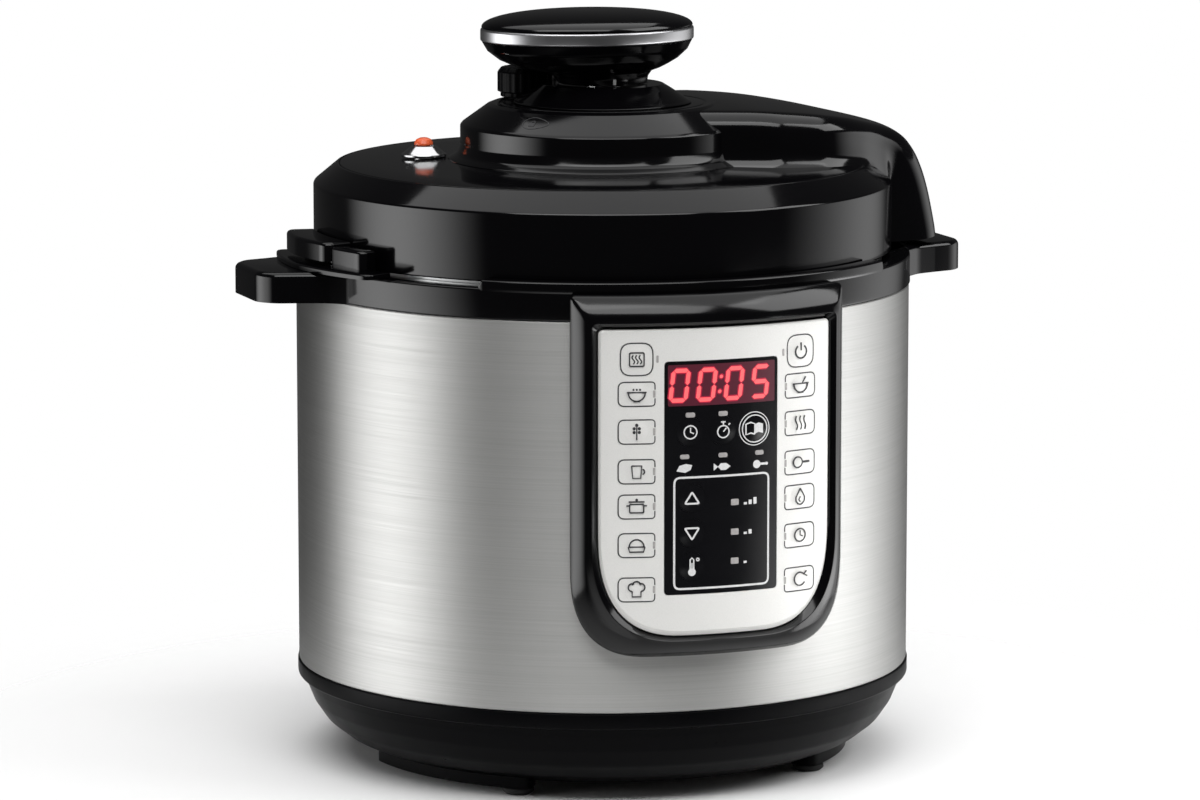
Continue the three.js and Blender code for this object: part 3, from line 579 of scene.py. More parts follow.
def panel_outline(half, bottom, top, top_radius, corner_width, corner_height):
    """The panel's outline: straight sides, small upper corners, and lower corners that are superellipses.

    Outlines of any size have the same number of points, so that one can be skinned to another.
    """
    centre_x, centre_z = half - corner_width, bottom + corner_height
    right = [(centre_x * i / 14, bottom) for i in range(14)]
    for i in range(21):
        a = math.pi / 2 * i / 20
        right.append((centre_x + corner_width * math.sin(a) ** (2 / CORNER_POWER),
                      centre_z - corner_height * max(0.0, math.cos(a)) ** (2 / CORNER_POWER)))
    right += [(half, centre_z + (top - top_radius - centre_z) * i / 10) for i in range(1, 10)]
    for i in range(7):
        a = math.pi / 2 * i / 6
        right.append((half - top_radius * (1 - math.cos(a)), top - top_radius * (1 - math.sin(a))))
    right += [((half - top_radius) * (1 - i / 26), top) for i in range(1, 27)]
    left = [(-x, z) for x, z in right[-2:0:-1]]
    return [Vector(point) for point in right + left]


def stroke(points, width):
    """A line of the given width through points, as one outline without holes."""
    points = [Vector(p) for p in points]
    left, right = [], []
    for i, p in enumerate(points):
        before = points[max(0, i - 1)]
        after = points[min(len(points) - 1, i + 1)]
        along = (after - before).normalized()
        side = Vector((-along.y, along.x)) * width / 2
        left.append(p + side)
        right.append(p - side)
    return (left + right[::-1], [])


def moved(outline, x, z):
    return [Vector(p) + Vector((x, z)) for p in outline]


def ring_shape(outline, width):
    """A closed line of the given width along the inside of an outline."""
    loop = anticlockwise(outline)
    return (loop, [inset_loop(loop, width)])


# ---------------------------------------------------------------- base

def build_base():
    shell = turned([
        (BASE_R, SLEEVE_BOTTOM - 0.3, 0.6), (BASE_R, 37.0, 1.2), (135.6, 36.2, 0.6), (134.4, 32.5, 3),
        (131.6, 25.5, 8), (126.2, 17.6, 9), (118, 11.2, 10), (108, 7.0, 8), (99, 5.2, 0.6), (99, 8, 0.4),
        (118.5, 14.5, 6), (127, 24, 6), (133.5, 52, 0.3), (136.7, 52, 0.3), (136.7, SLEEVE_BOTTOM - 0.3),
    ])
    add_piece("base_bowl", shell, "satin_black", "housing", ["base_shell"])
    outline = rounded([(-45, 99.6, 1.5), (45, 99.6, 1.5), (45, 111, 4), (-45, 111, 4)])
    for side, word in SIDES:
        pad = slab(outline, 6.0, 0.0)
        sliced(pad, -52, 52, 52)
        placed(pad, lambda s, r, depth: polar(r, math.radians(side * 62) + s / 105, 3.2 + depth))
        add_piece(f"base_pad_{word}", pad, "satin_black", "housing")


def build_feet():
    for i in range(4):
        low, high = node_box(f"foot_{i}")
        x, y = (low.x + high.x) / 2, (low.y + high.y) / 2
        r = (high.x - low.x) / 2
        pad = solid_turned([(0, 0), (r - 1.6, 0, 0.8), (r, 1.4, 0.6), (r - 0.3, high.z, 0.3), (0, high.z)],
                           SMALL, (x, y))
        add_piece(f"rubber_foot_{i}", pad, "rubber_black", "housing", [f"foot_{i}"])


# ---------------------------------------------------------------- drum and collar

def build_sleeve():
    wall = 0.8
    bm = turned([
        (DRUM_R - wall, SLEEVE_BOTTOM), (DRUM_R - 0.25, SLEEVE_BOTTOM, 0.25),
        (DRUM_R, SLEEVE_BOTTOM + 0.6, 0.4), (DRUM_R, SLEEVE_TOP - 0.5, 0.4),
        (DRUM_R - 0.4, SLEEVE_TOP, 0.2), (DRUM_R - wall, SLEEVE_TOP),
    ])
    add_piece("steel_sleeve", bm, "brushed_steel", "housing", ["body_sleeve"])


def handle_outline(side):
    edge = [(118, 52), (127, 45.5, 4), (133.5, 38.5, 9), (141, 31.8, 12), (151, 28.2, 14), (162, 25.0, 12),
            (HANDLE_TIP, 17.5, 12)]
    far = [(x, -half, *rest) for x, half, *rest in reversed(edge)]
    return [Vector((side * p.x, p.y)) for p in rounded(edge + far, True, 6)]


def build_collar():
    ring = turned([
        (COLLAR_R, SLEEVE_TOP + 0.3, 0.5), (COLLAR_R, COLLAR_TOP, 1.2), (126.5, COLLAR_TOP, 0.6),
        (126.5, 212.5), (117.5, 212.5, 0.4), (117.5, 210, 0.4), (136.6, 210), (136.6, SLEEVE_TOP + 0.3),
    ])
    add_piece("collar_ring", ring, "gloss_black", "housing", ["upper_collar"])
    for side, word in SIDES:
        handle = shifted(slab(handle_outline(side), COLLAR_TOP - HANDLE_BOTTOM, 2.6, 6), 0, 0, HANDLE_BOTTOM)
        cut_grip(handle)
        add_piece(f"handle_{word}", handle, "gloss_black", "housing")
    half = COLLAR_R * math.radians(42.5)
    outline = [(-half, COLLAR_TOP - 2, 0), (half, COLLAR_TOP - 2, 0), (half + 1.6, COLLAR_TOP, 1.0),
               (half, COLLAR_FRONT_TOP, 1.2), (-half, COLLAR_FRONT_TOP, 1.2), (-half - 1.6, COLLAR_TOP, 1.0)]
    lip = bend_to_drum(slab(rounded(outline), 7.0, 0.9), COLLAR_R - 6.95, 0, COLLAR_R)
    add_piece("collar_front_lip", lip, "gloss_black", "housing")


def cut_grip(bm):
    """Pushes the handle's underside up into a shallow finger recess."""
    bm.normal_update()
    bottom = [face for face in bm.faces
              if face.calc_center_median().z < HANDLE_BOTTOM + 0.1 and abs(face.normal.z) > 0.9]
    bmesh.ops.inset_region(bm, faces=bottom, thickness=3.0, use_even_offset=True)
    for v in {v for face in bottom for v in face.verts}:
        if abs(v.co.x) > COLLAR_R + 2:
            v.co.z += 8.0


# ---------------------------------------------------------------- control panel

KEY_ANGLE = 14.7
KEY_ROWS = (200, 185, 168.7, 151.5, 136.3, 119.5, 100.2)
INK = 0.56                           # width of the printed lines
PRINT = 0.09                         # height of a print above what it is on


def wave(x, low, high):
    return [(x + 0.55 * math.sin((t / 8) * 2 * math.pi), low + (high - low) * t / 8) for t in range(9)]


def icon_steam():
    frame_line = ring_shape(rounded_box(3.4, -3.2, 3.2, 1.0), INK)
    return [frame_line] + [stroke(wave(x, -1.9, 1.9), INK) for x in (-1.5, 0, 1.5)]


def icon_power():
    return [stroke(circle(2.9, 0, -0.3, 24, 125, 415), INK * 1.3), stroke([(0, 0.2), (0, 3.6)], INK * 1.3)]


def bowl_lines():
    return [stroke(circle(3.6, 0, 0.6, 18, 180, 360), INK), stroke([(-4.2, 0.8), (4.2, 0.8)], INK),
            stroke([(-1.4, -3.1), (1.4, -3.1)], INK)]


def icon_bowl():
    return bowl_lines() + [(circle(0.45, x, 2.0, 10), []) for x in (-1.4, 0, 1.4)]


def icon_grain():
    places = ((-1.1, 1.5), (1.1, 1.5), (-1.1, -0.1), (1.1, -0.1), (0, 3.0))
    return [(circle(0.7, x, y, 10), []) for x, y in places] + [stroke([(0, -3.4), (0, 2.2)], INK)]


def icon_cup():
    return [stroke([(-2.2, 2.6), (-1.7, -2.8), (1.7, -2.8), (2.2, 2.6), (-2.2, 2.6)], INK),
            stroke(circle(1.1, 2.3, 0, 10, -80, 80), INK)]


def icon_pot():
    return [ring_shape(rounded_box(3.3, -2.8, 1.4, 0.8), INK), stroke([(-4.4, 0.5), (-3.3, 0.5)], INK),
            stroke([(3.3, 0.5), (4.4, 0.5)], INK), stroke([(-3.4, 2.2), (3.4, 2.2)], INK),
            (circle(0.6, 0, 3.0, 10), [])]


def icon_loaf():
    tin = [(-3.6, -0.6), (-3.0, -2.8), (3.0, -2.8), (3.6, -0.6)]
    return [stroke(circle(3.2, 0, -0.6, 16, 0, 180), INK), stroke(tin, INK), stroke([tin[0], tin[-1]], INK)]


def icon_hat():
    return [stroke(circle(1.7, -1.9, 1.1, 12, 60, 270), INK), stroke(circle(1.9, 0, 1.8, 12, 10, 170), INK),
            stroke(circle(1.7, 1.9, 1.1, 12, -90, 120), INK),
            stroke([(-1.9, -0.6), (-1.9, -3.0), (1.9, -3.0), (1.9, -0.6)], INK)]


def icon_ladle():
    return bowl_lines() + [stroke([(0.6, 0.8), (2.6, 3.6)], INK)]


def icon_waves():
    return [stroke(wave(x, -3.0, 3.0), INK) for x in (-2.2, 0, 2.2)]


def icon_pan():
    return [ring_shape(circle(2.6, -1.4, 0), INK), stroke([(1.2, 0), (4.8, 0)], INK * 1.6)]


def icon_flame():
    left = [(0, 3.6), (-1.3, 1.6), (-2.3, -0.2), (-2.2, -1.8), (-1.1, -3.1), (0, -3.4)]
    whole = left + [(-x, y) for x, y in left[::-1]]
    return [stroke(whole, INK), stroke([(0, 0.2), (-0.8, -1.2), (0, -2.2)], INK)]


def icon_clock():
    return [ring_shape(circle(3.1), INK), stroke([(0, 2.0), (0, 0), (1.5, -0.6)], INK)]


def icon_turn():
    return [stroke(circle(2.9, 0, 0, 22, 40, 330), INK), stroke([(3.6, 3.3), (2.3, 1.9), (4.0, 1.0)], INK)]


ICONS = {
    "left": (icon_steam, icon_bowl, icon_grain, icon_cup, icon_pot, icon_loaf, icon_hat),
    "right": (icon_power, icon_ladle, icon_waves, icon_pan, icon_flame, icon_clock, icon_turn),
}


def key_size(row):
    """Half-width, half-height and corner radius of a key by its row from the top."""
    return (7.25, 7.25, 5.0) if row == 0 else (8.15, 5.45, 3.1)


def wrapped_skin(name, finish, loops, replaces=()):
    """A closed skin through (outline, radius) loops, each wrapped around the drum at its radius."""
    bm = bmesh.new()
    grid_skin(bm, [[polar(r, p.x / FASCIA_R, p.y) for p in loop] for loop, r in loops], True, True)
    add_piece(name, bm, finish, "housing", replaces, sharp=40)


def build_panel_frame():
    """The surround: its flanks rise to a crest beside the fascia, and a short wall drops to it."""
    outer = panel_outline(67.3, frame_low.z, frame_high.z, 2.5, 37, 40)
    crest = panel_outline(57.2, 77.4, 215.6, 2.6, 40, 45)
    inner = panel_outline(54.9, 79.0, 213.4, 2.4, 39, 46)
    flank_r = 144.8
    loops = [(outer, 138.9), (outer, 142.6), (inset_loop(outer, 0.35), 143.9),
             (inset_loop(outer, 1.2), flank_r)]
    for i in range(1, 9):
        t = i / 9
        between = [a.lerp(b, 0.1 + 0.9 * t) for a, b in zip(outer, crest)]
        loops.append((between, flank_r + (PANEL_R - flank_r - 0.3) * math.sin(math.pi / 2 * t)))
    loops += [(crest, PANEL_R), (inset_loop(crest, 0.5), PANEL_R - 0.3), (inner, FASCIA_R - 0.9),
              (inner, 145.0)]
    wrapped_skin("panel_surround", "gloss_black", loops, ["panel_frame"])


def build_fascia():
    outer = panel_outline(53.4, 81.6, 211.9, 1.8, 38, 45)
    holes = [rounded_box(26.2, 97.4, 198.8, 2.0)]
    pitch = FASCIA_R * math.radians(KEY_ANGLE)
    gap = 0.08
    for side, _ in SIDES:
        for row, height in enumerate(KEY_ROWS):
            half_w, half_h, radius = key_size(row)
            hole = rounded_box(half_w + gap, -half_h - gap, half_h + gap, radius)
            holes.append(moved(hole, side * pitch, height))
    plate = panel_plate([(outer, holes)], FASCIA_R - 1.7, 1.7, 0)
    add_piece("silver_fascia", plate, "silver_fascia", "housing", ["fascia"])
    inner = inset_loop(outer, 0.01)
    edge = panel_outline(54.5, 79.5, 212.7, 2.2, 38.6, 46)
    wrapped_skin("fascia_bevel", "silver_fascia", [
        (inner, FASCIA_R + 0.02), (edge, FASCIA_R - 0.75), (edge, FASCIA_R - 1.6), (inner, FASCIA_R - 1.6)])


def add_dome(bm, radius, base, rise):
    """Adds a low dome, in (arc length, height, depth), on top of a plate."""
    rows = []
    for i in range(8):
        left = 1 - i / 8
        lift = rise * (1 - left ** 2) ** 1.5
        rows.append([(p.x, p.y, base + lift) for p in circle(radius * left, 0, 0, 32)])
    made = grid_skin(bm, rows, True)
    bm.faces.new(made[-1])


def broken_outline(half_w, half_h, radius, side):
    """A key's printed outline, open on the side where its lamp is."""
    opening = 1.9
    x = side * half_w
    points = [(x, opening), (x, half_h, radius), (-x, half_h, radius), (-x, -half_h, radius),
              (x, -half_h, radius), (x, -opening)]
    return stroke(rounded(points, False, 8), INK * 0.9)


def pressed_cap(node, outline, front, dome_r, rise, finish, angle, height):
    """A key's cap: a plate with a low dome, wrapped on the drum. Its edge stands at the front radius."""
    bm = slab(outline, front - KEY_BACK_R, 0.0)
    add_dome(bm, dome_r, front - KEY_BACK_R - 0.01, rise)
    shifted(bm, 0, height, 0)
    add_piece(f"{node}_cap", bend_to_drum(bm, KEY_BACK_R, angle), finish, node, [node])


def build_key(node, row, side, height, icon):
    half_w, half_h, radius = key_size(row)
    angle = side * KEY_ANGLE
    front = FASCIA_R + 0.04
    outline = rounded_box(half_w, -half_h, half_h, radius)
    pressed_cap(node, outline, front, half_h - 0.4, 0.5, "key_cap", angle, height)
    edge = INK * 0.5
    if row == 0:
        line = ring_shape(rounded_box(half_w - 0.05, -half_h + 0.05, half_h - 0.05, radius), INK * 0.9)
        lamp_x = -side * (half_w + 1.7)
    else:
        line = broken_outline(half_w - edge, half_h - edge, radius - edge, -side)
        lamp_x = -side * (half_w - 0.62)
    lamp = moved(rounded_box(0.5, -1.55, 1.55, 0.35), lamp_x, 0)
    prints = (("outline", [line], front - 0.05, PRINT, 0, "printed_ink", node),
              ("icon", icon(), front + 0.2, 0.34, 0, "printed_ink", node),
              ("lamp", [(lamp, [])], FASCIA_R - 0.1, 0.2, 0.04, "led_lens", node if row else "housing"))
    for part, shapes, back_r, depth, rounding, finish, body in prints:
        plate = panel_plate(shapes, back_r, depth, rounding, angle, height)
        add_piece(f"{node}_{part}", plate, finish, body)


def build_keys():
    for row, height in enumerate(KEY_ROWS):
        for side, word in SIDES:
            build_key(f"key_{word}_{row}", row, side, height, ICONS[word][row])


SEGMENTS_OF = {"0": "abcdef", "5": "acdfg"}


def digit_segments(character, width=8.4, height=14.6, thick=1.75, gap=0.16, spill=0.0):
    """Seven-segment bars of one digit about its centre, as pointed bars."""
    w, h, t = width / 2 - thick / 2, height / 2 - thick / 2, thick / 2 + spill
    ends = {
        "a": ((-w, h), (w, h)), "d": ((-w, -h), (w, -h)), "g": ((-w, 0), (w, 0)),
        "b": ((w, 0), (w, h)), "c": ((w, -h), (w, 0)), "e": ((-w, -h), (-w, 0)), "f": ((-w, 0), (-w, h)),
    }
    shapes = []
    for key in SEGMENTS_OF[character]:
        a, b = Vector(ends[key][0]), Vector(ends[key][1])
        along = (b - a).normalized()
        side = Vector((-along.y, along.x)) * t
        a, b = a + along * (gap - spill), b - along * (gap - spill)
        bar = [a, a + along * t + side, b - along * t + side, b, b - along * t - side, a + along * t - side]
        shapes.append((bar, []))
    return shapes


def slanted(shapes, x, lean=0.115):
    """Leans shapes without holes to the right, and moves them along."""
    return [([Vector((p.x + p.y * lean + x, p.y)) for p in outer], []) for outer, _ in shapes]


def clock_shapes(spill):
    shapes = []
    for character, x in zip("0005", (-19.5, -7.4, 5.1, 17.6)):
        shapes += slanted(digit_segments(character, spill=spill), x)
    for z in (3.2, -3.2):
        shapes += slanted([(circle(0.75 + spill, 0, z, 14), [])], -1.2)
    return shapes


def build_window():
    front = FASCIA_R + 0.1
    holes = [circle(6.3, x, z, 36) for x, z in WINDOW_KEYS.values()]
    film = panel_plate([(rounded_box(25.9, 97.6, 198.6, 1.9), holes)], front - 1.6, 1.6, 0)
    add_piece("window_film", film, "window_black", "housing", ["display_window"])
    # The pane carries a painted red glow (emission) for the digits' light spread through it; the pane itself
    # is no lamp.
    pane = [(rounded_box(24.6, 179.4, 197.2, 0.8), [])]
    add_piece("display_pane_painted_glow", panel_plate(pane, front - 0.04, 0.06, 0), "smoked_pane_painted_glow", "housing")
    for name, finish, spill, back_r in (("digit_glow", "led_glow", 0.55, front),
                                        ("clock_digits", "led_red", 0.0, front + 0.04)):
        add_piece(name, panel_plate(clock_shapes(spill), back_r, 0.03, 0, 0, 188.3), finish, "housing")
    prints = [ring_shape(rounded_box(22.2, 99.5, 148.8, 3.2), 0.9)]
    menu_x, menu_z = WINDOW_KEYS["key_menu"]
    prints.append(ring_shape(circle(7.4, menu_x, menu_z, 40), 0.4))
    add_piece("window_box", panel_plate(prints, front - 0.04, PRINT, 0), "printed_white", "housing")
    build_window_keys(front)
    build_lamps(front)


WINDOW_KEYS = {
    node: (FASCIA_R * math.radians(angle), z) for node, angle, z in (
        ("key_delay", -5.7, 168), ("key_timer", 0.0, 168), ("key_menu", 5.7, 168),
        ("key_up", -5.4, 139.3), ("key_down", -5.4, 124), ("key_temperature", -5.4, 109.6))
}


def icon_stopwatch():
    lines = ([(0, 2.6), (0, 3.8)], [(-1, 3.8), (1, 3.8)], [(2.4, 2.4), (3.1, 3.1)], [(0, -0.4), (1.4, 1.2)])
    return [ring_shape(circle(2.9, 0, -0.4), INK)] + [stroke(line, INK) for line in lines]


def icon_book():
    left = [(0, -2.4), (-1.9, -1.8), (-4.2, -2.5), (-4.2, 2.1), (-1.9, 2.8), (0, 2.1), (0, -2.4)]
    page = [Vector((-x, y)) for x, y in left[:-1]]
    return [stroke(left, INK * 1.1), (inset_loop(anticlockwise(page), 0.25), [])]


def icon_up():
    return [ring_shape(rounded([(-3.9, -2.7, 0.9), (3.9, -2.7, 0.9), (0, 3.4, 0.9)]), INK * 1.4)]


def icon_down():
    return [ring_shape(rounded([(-3.9, 2.7, 0.9), (0, -3.4, 0.9), (3.9, 2.7, 0.9)]), INK * 1.4)]


def icon_thermometer():
    tube = [(-0.8, -1.2), (-0.8, 3.0), (0, 3.8), (0.8, 3.0), (0.8, -1.2)]
    return [stroke(tube, INK), (circle(1.7, 0, -2.4, 18), []), stroke([(0, -1.5), (0, 1.6)], INK),
            ring_shape(circle(0.8, 2.6, 3.0, 14), INK * 0.8)]


WINDOW_ICONS = {
    "key_delay": icon_clock, "key_timer": icon_stopwatch, "key_menu": icon_book,
    "key_up": icon_up, "key_down": icon_down, "key_temperature": icon_thermometer,
}


def build_window_keys(front):
    for node, (x, z) in WINDOW_KEYS.items():
        angle = math.degrees(x / FASCIA_R)
        pressed_cap(node, circle(6.2, 0, 0, 36), front, 6.1, 0.45, "window_black", angle, z)
        prints = WINDOW_ICONS[node]()
        if node == "key_menu":
            prints = prints + [ring_shape(circle(6.1, 0, 0, 40), INK * 0.8)]
        plate = panel_plate(prints, front + 0.05, 0.42, 0, angle, z)
        add_piece(f"{node}_icon", plate, "printed_white", node)


def build_lamps(front):
    """The unlit indicator lamps on the window, with small picture marks beside them."""
    lamps = [moved(rounded_box(2.1, -1.05, 1.05, 0.9), WINDOW_KEYS[node][0], 175.4)
             for node in ("key_delay", "key_timer")]
    lamps += [moved(rounded_box(2.05, -1.0, 1.0, 0.9), x, 157.4) for x in (-17.2, 0, 17.2)]
    lamps += [moved(rounded_box(1.8, -1.35, 1.35, 0.5), 5.6, z) for z in (136.6, 123.7, 111.0)]
    add_piece("window_lamps", panel_plate([(lamp, []) for lamp in lamps], front - 0.05, 0.2, 0.06),
              "led_lens", "housing")
    marks = leaf_mark(-17.2, 152.4) + fish_mark(0, 152.4) + drop_mark(17.2, 152.4)
    for count, z in ((3, 136.6), (2, 123.7), (1, 111.0)):
        for i in range(count):
            marks.append((moved(rounded_box(0.75, -1.4, -0.4 + 0.95 * i, 0.15, 2), 10.6 + 2.3 * i, z), []))
    add_piece("window_marks", panel_plate(marks, front - 0.04, PRINT, 0), "printed_white", "housing")


def leaf_mark(x, z):
    side = [(-3.6, -1.2), (-2.4, 1.1), (0.4, 1.9), (3.4, 1.3), (2.6, -0.8), (0.2, -1.9)]
    return [(moved(side, x, z), [])]


def fish_mark(x, z):
    body = [(-2.3, 0), (-0.9, 1.5), (1.4, 1.5), (3.6, 0), (1.4, -1.5), (-0.9, -1.5)]
    tail = [(-2.2, 0), (-4.2, 1.6), (-4.2, -1.6)]
    return [(moved(shape, x, z), []) for shape in (body, tail)]


def drop_mark(x, z):
    return [(circle(1.8, x - 1.2, z, 18), []), stroke([(x + 0.4, z), (x + 3.4, z)], 1.0),
            (circle(0.7, x + 3.6, z, 12), [])]


# ---------------------------------------------------------------- back of the drum

def build_inlet():
    low, high = node_box("power_inlet")
    half = (high.x - low.x) / 2
    middle = (low.z + high.z) / 2
    below, above = low.z - middle, high.z - middle
    mouth = rounded([(-12.5, -8.7, 3), (12.5, -8.7, 3), (12.5, 4, 3), (7.5, 8.7, 2), (-7.5, 8.7, 2),
                     (-12.5, 4, 3)])
    housing = slab(rounded_box(half, below, above, 2.5), high.y - low.y, 1.2, 4, [mouth])
    floor_plate = slab(rounded_box(half - 0.5, below + 0.5, above - 0.5, 2.4), 2.6, 0)
    blades = bmesh.new()
    for x, z in ((-7, -1.7), (7, -1.7), (0, 3.8)):
        flat_plate(blades, moved(rounded_box(1, -2, 2, 0.3, 2), x, z), [], 12, 0.4)
    for name, bm, finish, replaces in (("inlet_housing", housing, "satin_black", ["power_inlet"]),
                                       ("inlet_floor", floor_plate, "satin_black", []),
                                       ("inlet_blades", blades, "bare_steel", [])):
        placed(bm, lambda x, z, depth: (x, low.y + depth, z + middle))
        add_piece(name, bm, finish, "housing", replaces)


# ---------------------------------------------------------------- outer pot, inner pot and lock

def build_vessel():
    wall = 1.5
    pot = turned([
        (22, 45.5, 1), (106.5, 45.5, 5), (113.5, 52, 5), (113.5, 214.3, 0.5), (MOUTH_R, 214.3, 0.8),
        (MOUTH_R, 239, 0.2), (MOUTH_R + wall, 239, 0.4), (MOUTH_R + wall, 212.8, 0.5), (113.5 + wall, 212.8),
        (113.5 + wall, 51, 5), (107.5, 44, 5), (22, 44),
    ])
    add_piece("outer_pot", pot, "bare_steel", "housing", ["pressure_vessel"])
    cup = turned([(22, 44), (23.5, 44), (23.5, 27, 1), (3, 27), (3, 28.5), (22, 28.5, 1)], SMALL)
    add_piece("sensor_cup", cup, "bare_steel", "housing")
    half = MOUTH_R * math.radians(12)
    outline = rounded([(-half, 117.5, 1.5), (half, 117.5, 1.5), (half, 124.6), (-half, 124.6)])
    for i in range(6):
        tab = level_plate(outline, 2.0, 0.3, 3, 60 * i, 237.0, MOUTH_R)
        add_piece(f"mouth_tab_{i}", tab, "bare_steel", "housing")


def build_inner_pot():
    wall = 1.4
    pot = solid_turned([
        (0, 60), (100, 60, 4), (107.5, 63, 6), (110 + wall, 72, 4), (110 + wall, 214.6, 0.5),
        (121, 214.6, 0.5), (121, 216, 0.5), (110, 216, 1.0), (110, 72.5, 5), (106.5, 64.5, 5),
        (99.5, 60 + wall, 4), (0, 60 + wall),
    ])
    add_piece("cooking_pot", pot, "pot_grey", "housing", ["inner_pot"])


def build_pressure_lid():
    plate = solid_turned([
        (0, 228), (40, 228, 3), (44, 227.2, 2), (60, 227.2, 2), (64, 228, 2), (103, 228, 2),
        (107.6, 223.2, 2), (107.6, 219, 0.4), (109, 219, 0.4), (109, 222.2), (115, 222.2),
        (115, 219, 0.3), (116.3, 219, 0.4), (116.3, 223.7, 1), (109.8, 223.7, 1), (104, 230, 2), (0, 230),
    ])
    add_piece("pressure_plate", plate, "bare_steel", "lid", ["pressure_lid"])
    seal = turned([(109.4, 217.6, 0.8), (110.6, 216.4, 0.8), (112, 216.9, 0.4), (113.4, 216.4, 0.8),
                   (114.6, 217.6, 0.8), (114.6, 221.9, 0.5), (109.4, 221.9, 0.5)])
    add_piece("seal_ring", seal, "silicone", "lid", ["sealing_gasket"])


# ---------------------------------------------------------------- lid, hub and arm

def build_lid_cover():
    bm = turned([
        (6, 264.2), (117, 264.2, 3), (LID_R - 2.8, 256.5, 4), (LID_R - 2.8, LID_BOTTOM, 0.4),
        (LID_R, LID_BOTTOM, 0.7), (LID_R, LID_SHOULDER, 2.2), (LID_RIM_R, LID_RIM, 1.6),
        (LID_RIM_R - 1, LID_RIM, 0.3), (LID_RIM_R - 1, 266.8), (6, 266.8),
    ], steps=6)
    add_piece("lid_shell", bm, "gloss_black", "lid", ["lid_cover"])
    edge = LID_RIM_R - 1.35
    panel = turned([(52, 267.1), (edge, 267.1), (edge, LID_RIM + 0.1, 0.5), (100, 269.15, 25),
                    (70, LID_TOP, 6), (52, LID_TOP)])
    add_piece("lid_gloss_panel", panel, "gloss_black", "lid", ["lid_top_panel"])


ARM_CROWN = [(20, 294.9), (40, 294.9), (57, 294.6), (77, 293), (96, 290.4), (110, 287.4), (124, 284),
             (132.5, 281.2), (138.3, 277.8), (142.2, 273.6), (145.6, 268.2), (148.8, 260.6), (151.3, 252.3),
             (153.2, 244), (154.8, 236), (155.4, 231.6)]


def smoothstep(t):
    t = min(1.0, max(0.0, t))
    return t * t * (3 - 2 * t)


def catmull(points, per_span):
    """A smooth line through 2-D points."""
    out = []
    padded = [points[0]] + list(points) + [points[-1]]
    for i in range(1, len(padded) - 2):
        p0, p1, p2, p3 = (Vector(p) for p in padded[i - 1:i + 3])
        for k in range(per_span):
            t = k / per_span
            out.append(0.5 * (2 * p1 + (p2 - p0) * t + (2 * p0 - 5 * p1 + 4 * p2 - p3) * t * t
                              + (3 * p1 - p0 - 3 * p2 + p3) * t ** 3))
    out.append(Vector(points[-1]))
    return out


def arm_half_width(r):
    """The arm narrows from the hub out to the hinge."""
    wide, narrow = 60.5, 34.0
    flank = min(wide, 50 + (r - 30) * 0.35)
    return flank + (narrow - wide) * smoothstep((r - 82) / 60)


def arm_foot(point, half, shift):
    """Where the flank ends below a point of the crown: along the lid's top, its bevel, and then its side.

    The flank stands half beside the arm's middle, and the bow moves it back by shift.
    """
    rim_x = math.sqrt(LID_RIM_R ** 2 - half ** 2) + shift
    side_x = math.sqrt(LID_R ** 2 - half ** 2) + shift
    if point.x < rim_x:
        z = LID_RIM - 1.0 + (LID_TOP - LID_RIM) * smoothstep((rim_x - point.x) / 40)
        return Vector((point.x, z))
    if point.x < side_x:
        z = LID_RIM - 1.0 - (LID_RIM - LID_SHOULDER) * (point.x - rim_x) / (side_x - rim_x)
        return Vector((point.x, z))
    share = min(1.0, max(0.0, (282 - point.y) / 34))
    z = LID_SHOULDER - 1.0 - (LID_SHOULDER - LID_BOTTOM - 1.5) * share
    return Vector((side_x - 0.4, min(z, point.y)))


def arm_section(point, out):
    """Half a section across the arm at a point of its crown, from the middle down to the flank's foot.

    Its entries are ((x, z), distance from the middle). The other value is how much the arm bows back.
    """
    shoulder, sag, drop = 10.0, 0.9, 8.5
    half = arm_half_width(point.x)
    bow = smoothstep((point.x - 105) / 40) / 300
    low = arm_foot(point, half, bow * half * half)
    section = [(point - out * sag * (k / 6) ** 2, (half - shoulder) * k / 6) for k in range(7)]
    for j in range(1, 9):
        a = math.pi / 2 * j / 8
        section.append((point - out * (sag + drop * (1 - math.cos(a))), half - shoulder * (1 - math.sin(a))))
    edge = point - out * (sag + drop)
    for j in range(1, 7):
        t = j / 6
        flare = 16 * max(0.0, t - 0.55) ** 2 * (1 - smoothstep((point.x - 95) / 30))
        section.append((edge.lerp(low, t), half + flare))
    return section, bow


def build_arm():
    """The arm: a crowned strap whose shoulders roll over into its flanks."""
    crown = catmull(ARM_CROWN, 5)
    rows = []
    for i, point in enumerate(crown):
        before = crown[max(0, i - 1)]
        after = crown[min(len(crown) - 1, i + 1)]
        along = (after - before).normalized()
        section, bow = arm_section(point, Vector((-along.y, along.x)))
        row = [(p.x - bow * y * y, y, p.y) for p, y in section]
        rows.append([(x, -y, z) for x, y, z in row[:0:-1]] + row)
    bm = bmesh.new()
    grid_skin(bm, rows, False)
    add_piece("arm_shell", bm, "gloss_black", "lid", sharp=50)


BEVEL_IN = Vector((52, 294.1))       # the hub's bevel, as (radius, height)
BEVEL_OUT = Vector((HUB_R - 1, 286.2))
MARK_R, MARK_Z, MARK_ANGLE = 57.2, 290.4, -52.9


def build_hub():
    hub = turned([
        (9, HUB_TOP, 0.4), (45.2, HUB_TOP, 0.3), (45.6, HUB_TOP - 0.5, 0.2), (46.2, HUB_TOP - 0.5, 0.2),
        (46.6, HUB_TOP, 0.3), (49.6, HUB_TOP, 0.4), (*BEVEL_IN, 1.0), (*BEVEL_OUT, 1.6), (HUB_R, 285, 1.2),
        (HUB_R, 277, 4), (65.5, 272.6, 4), (70, LID_TOP + 0.05, 0.2), (60, LID_TOP + 0.05), (59, 282),
        (9, 291.5),
    ])
    add_piece("hub_dome", hub, "gloss_black", "lid", ["hinge_arm"])


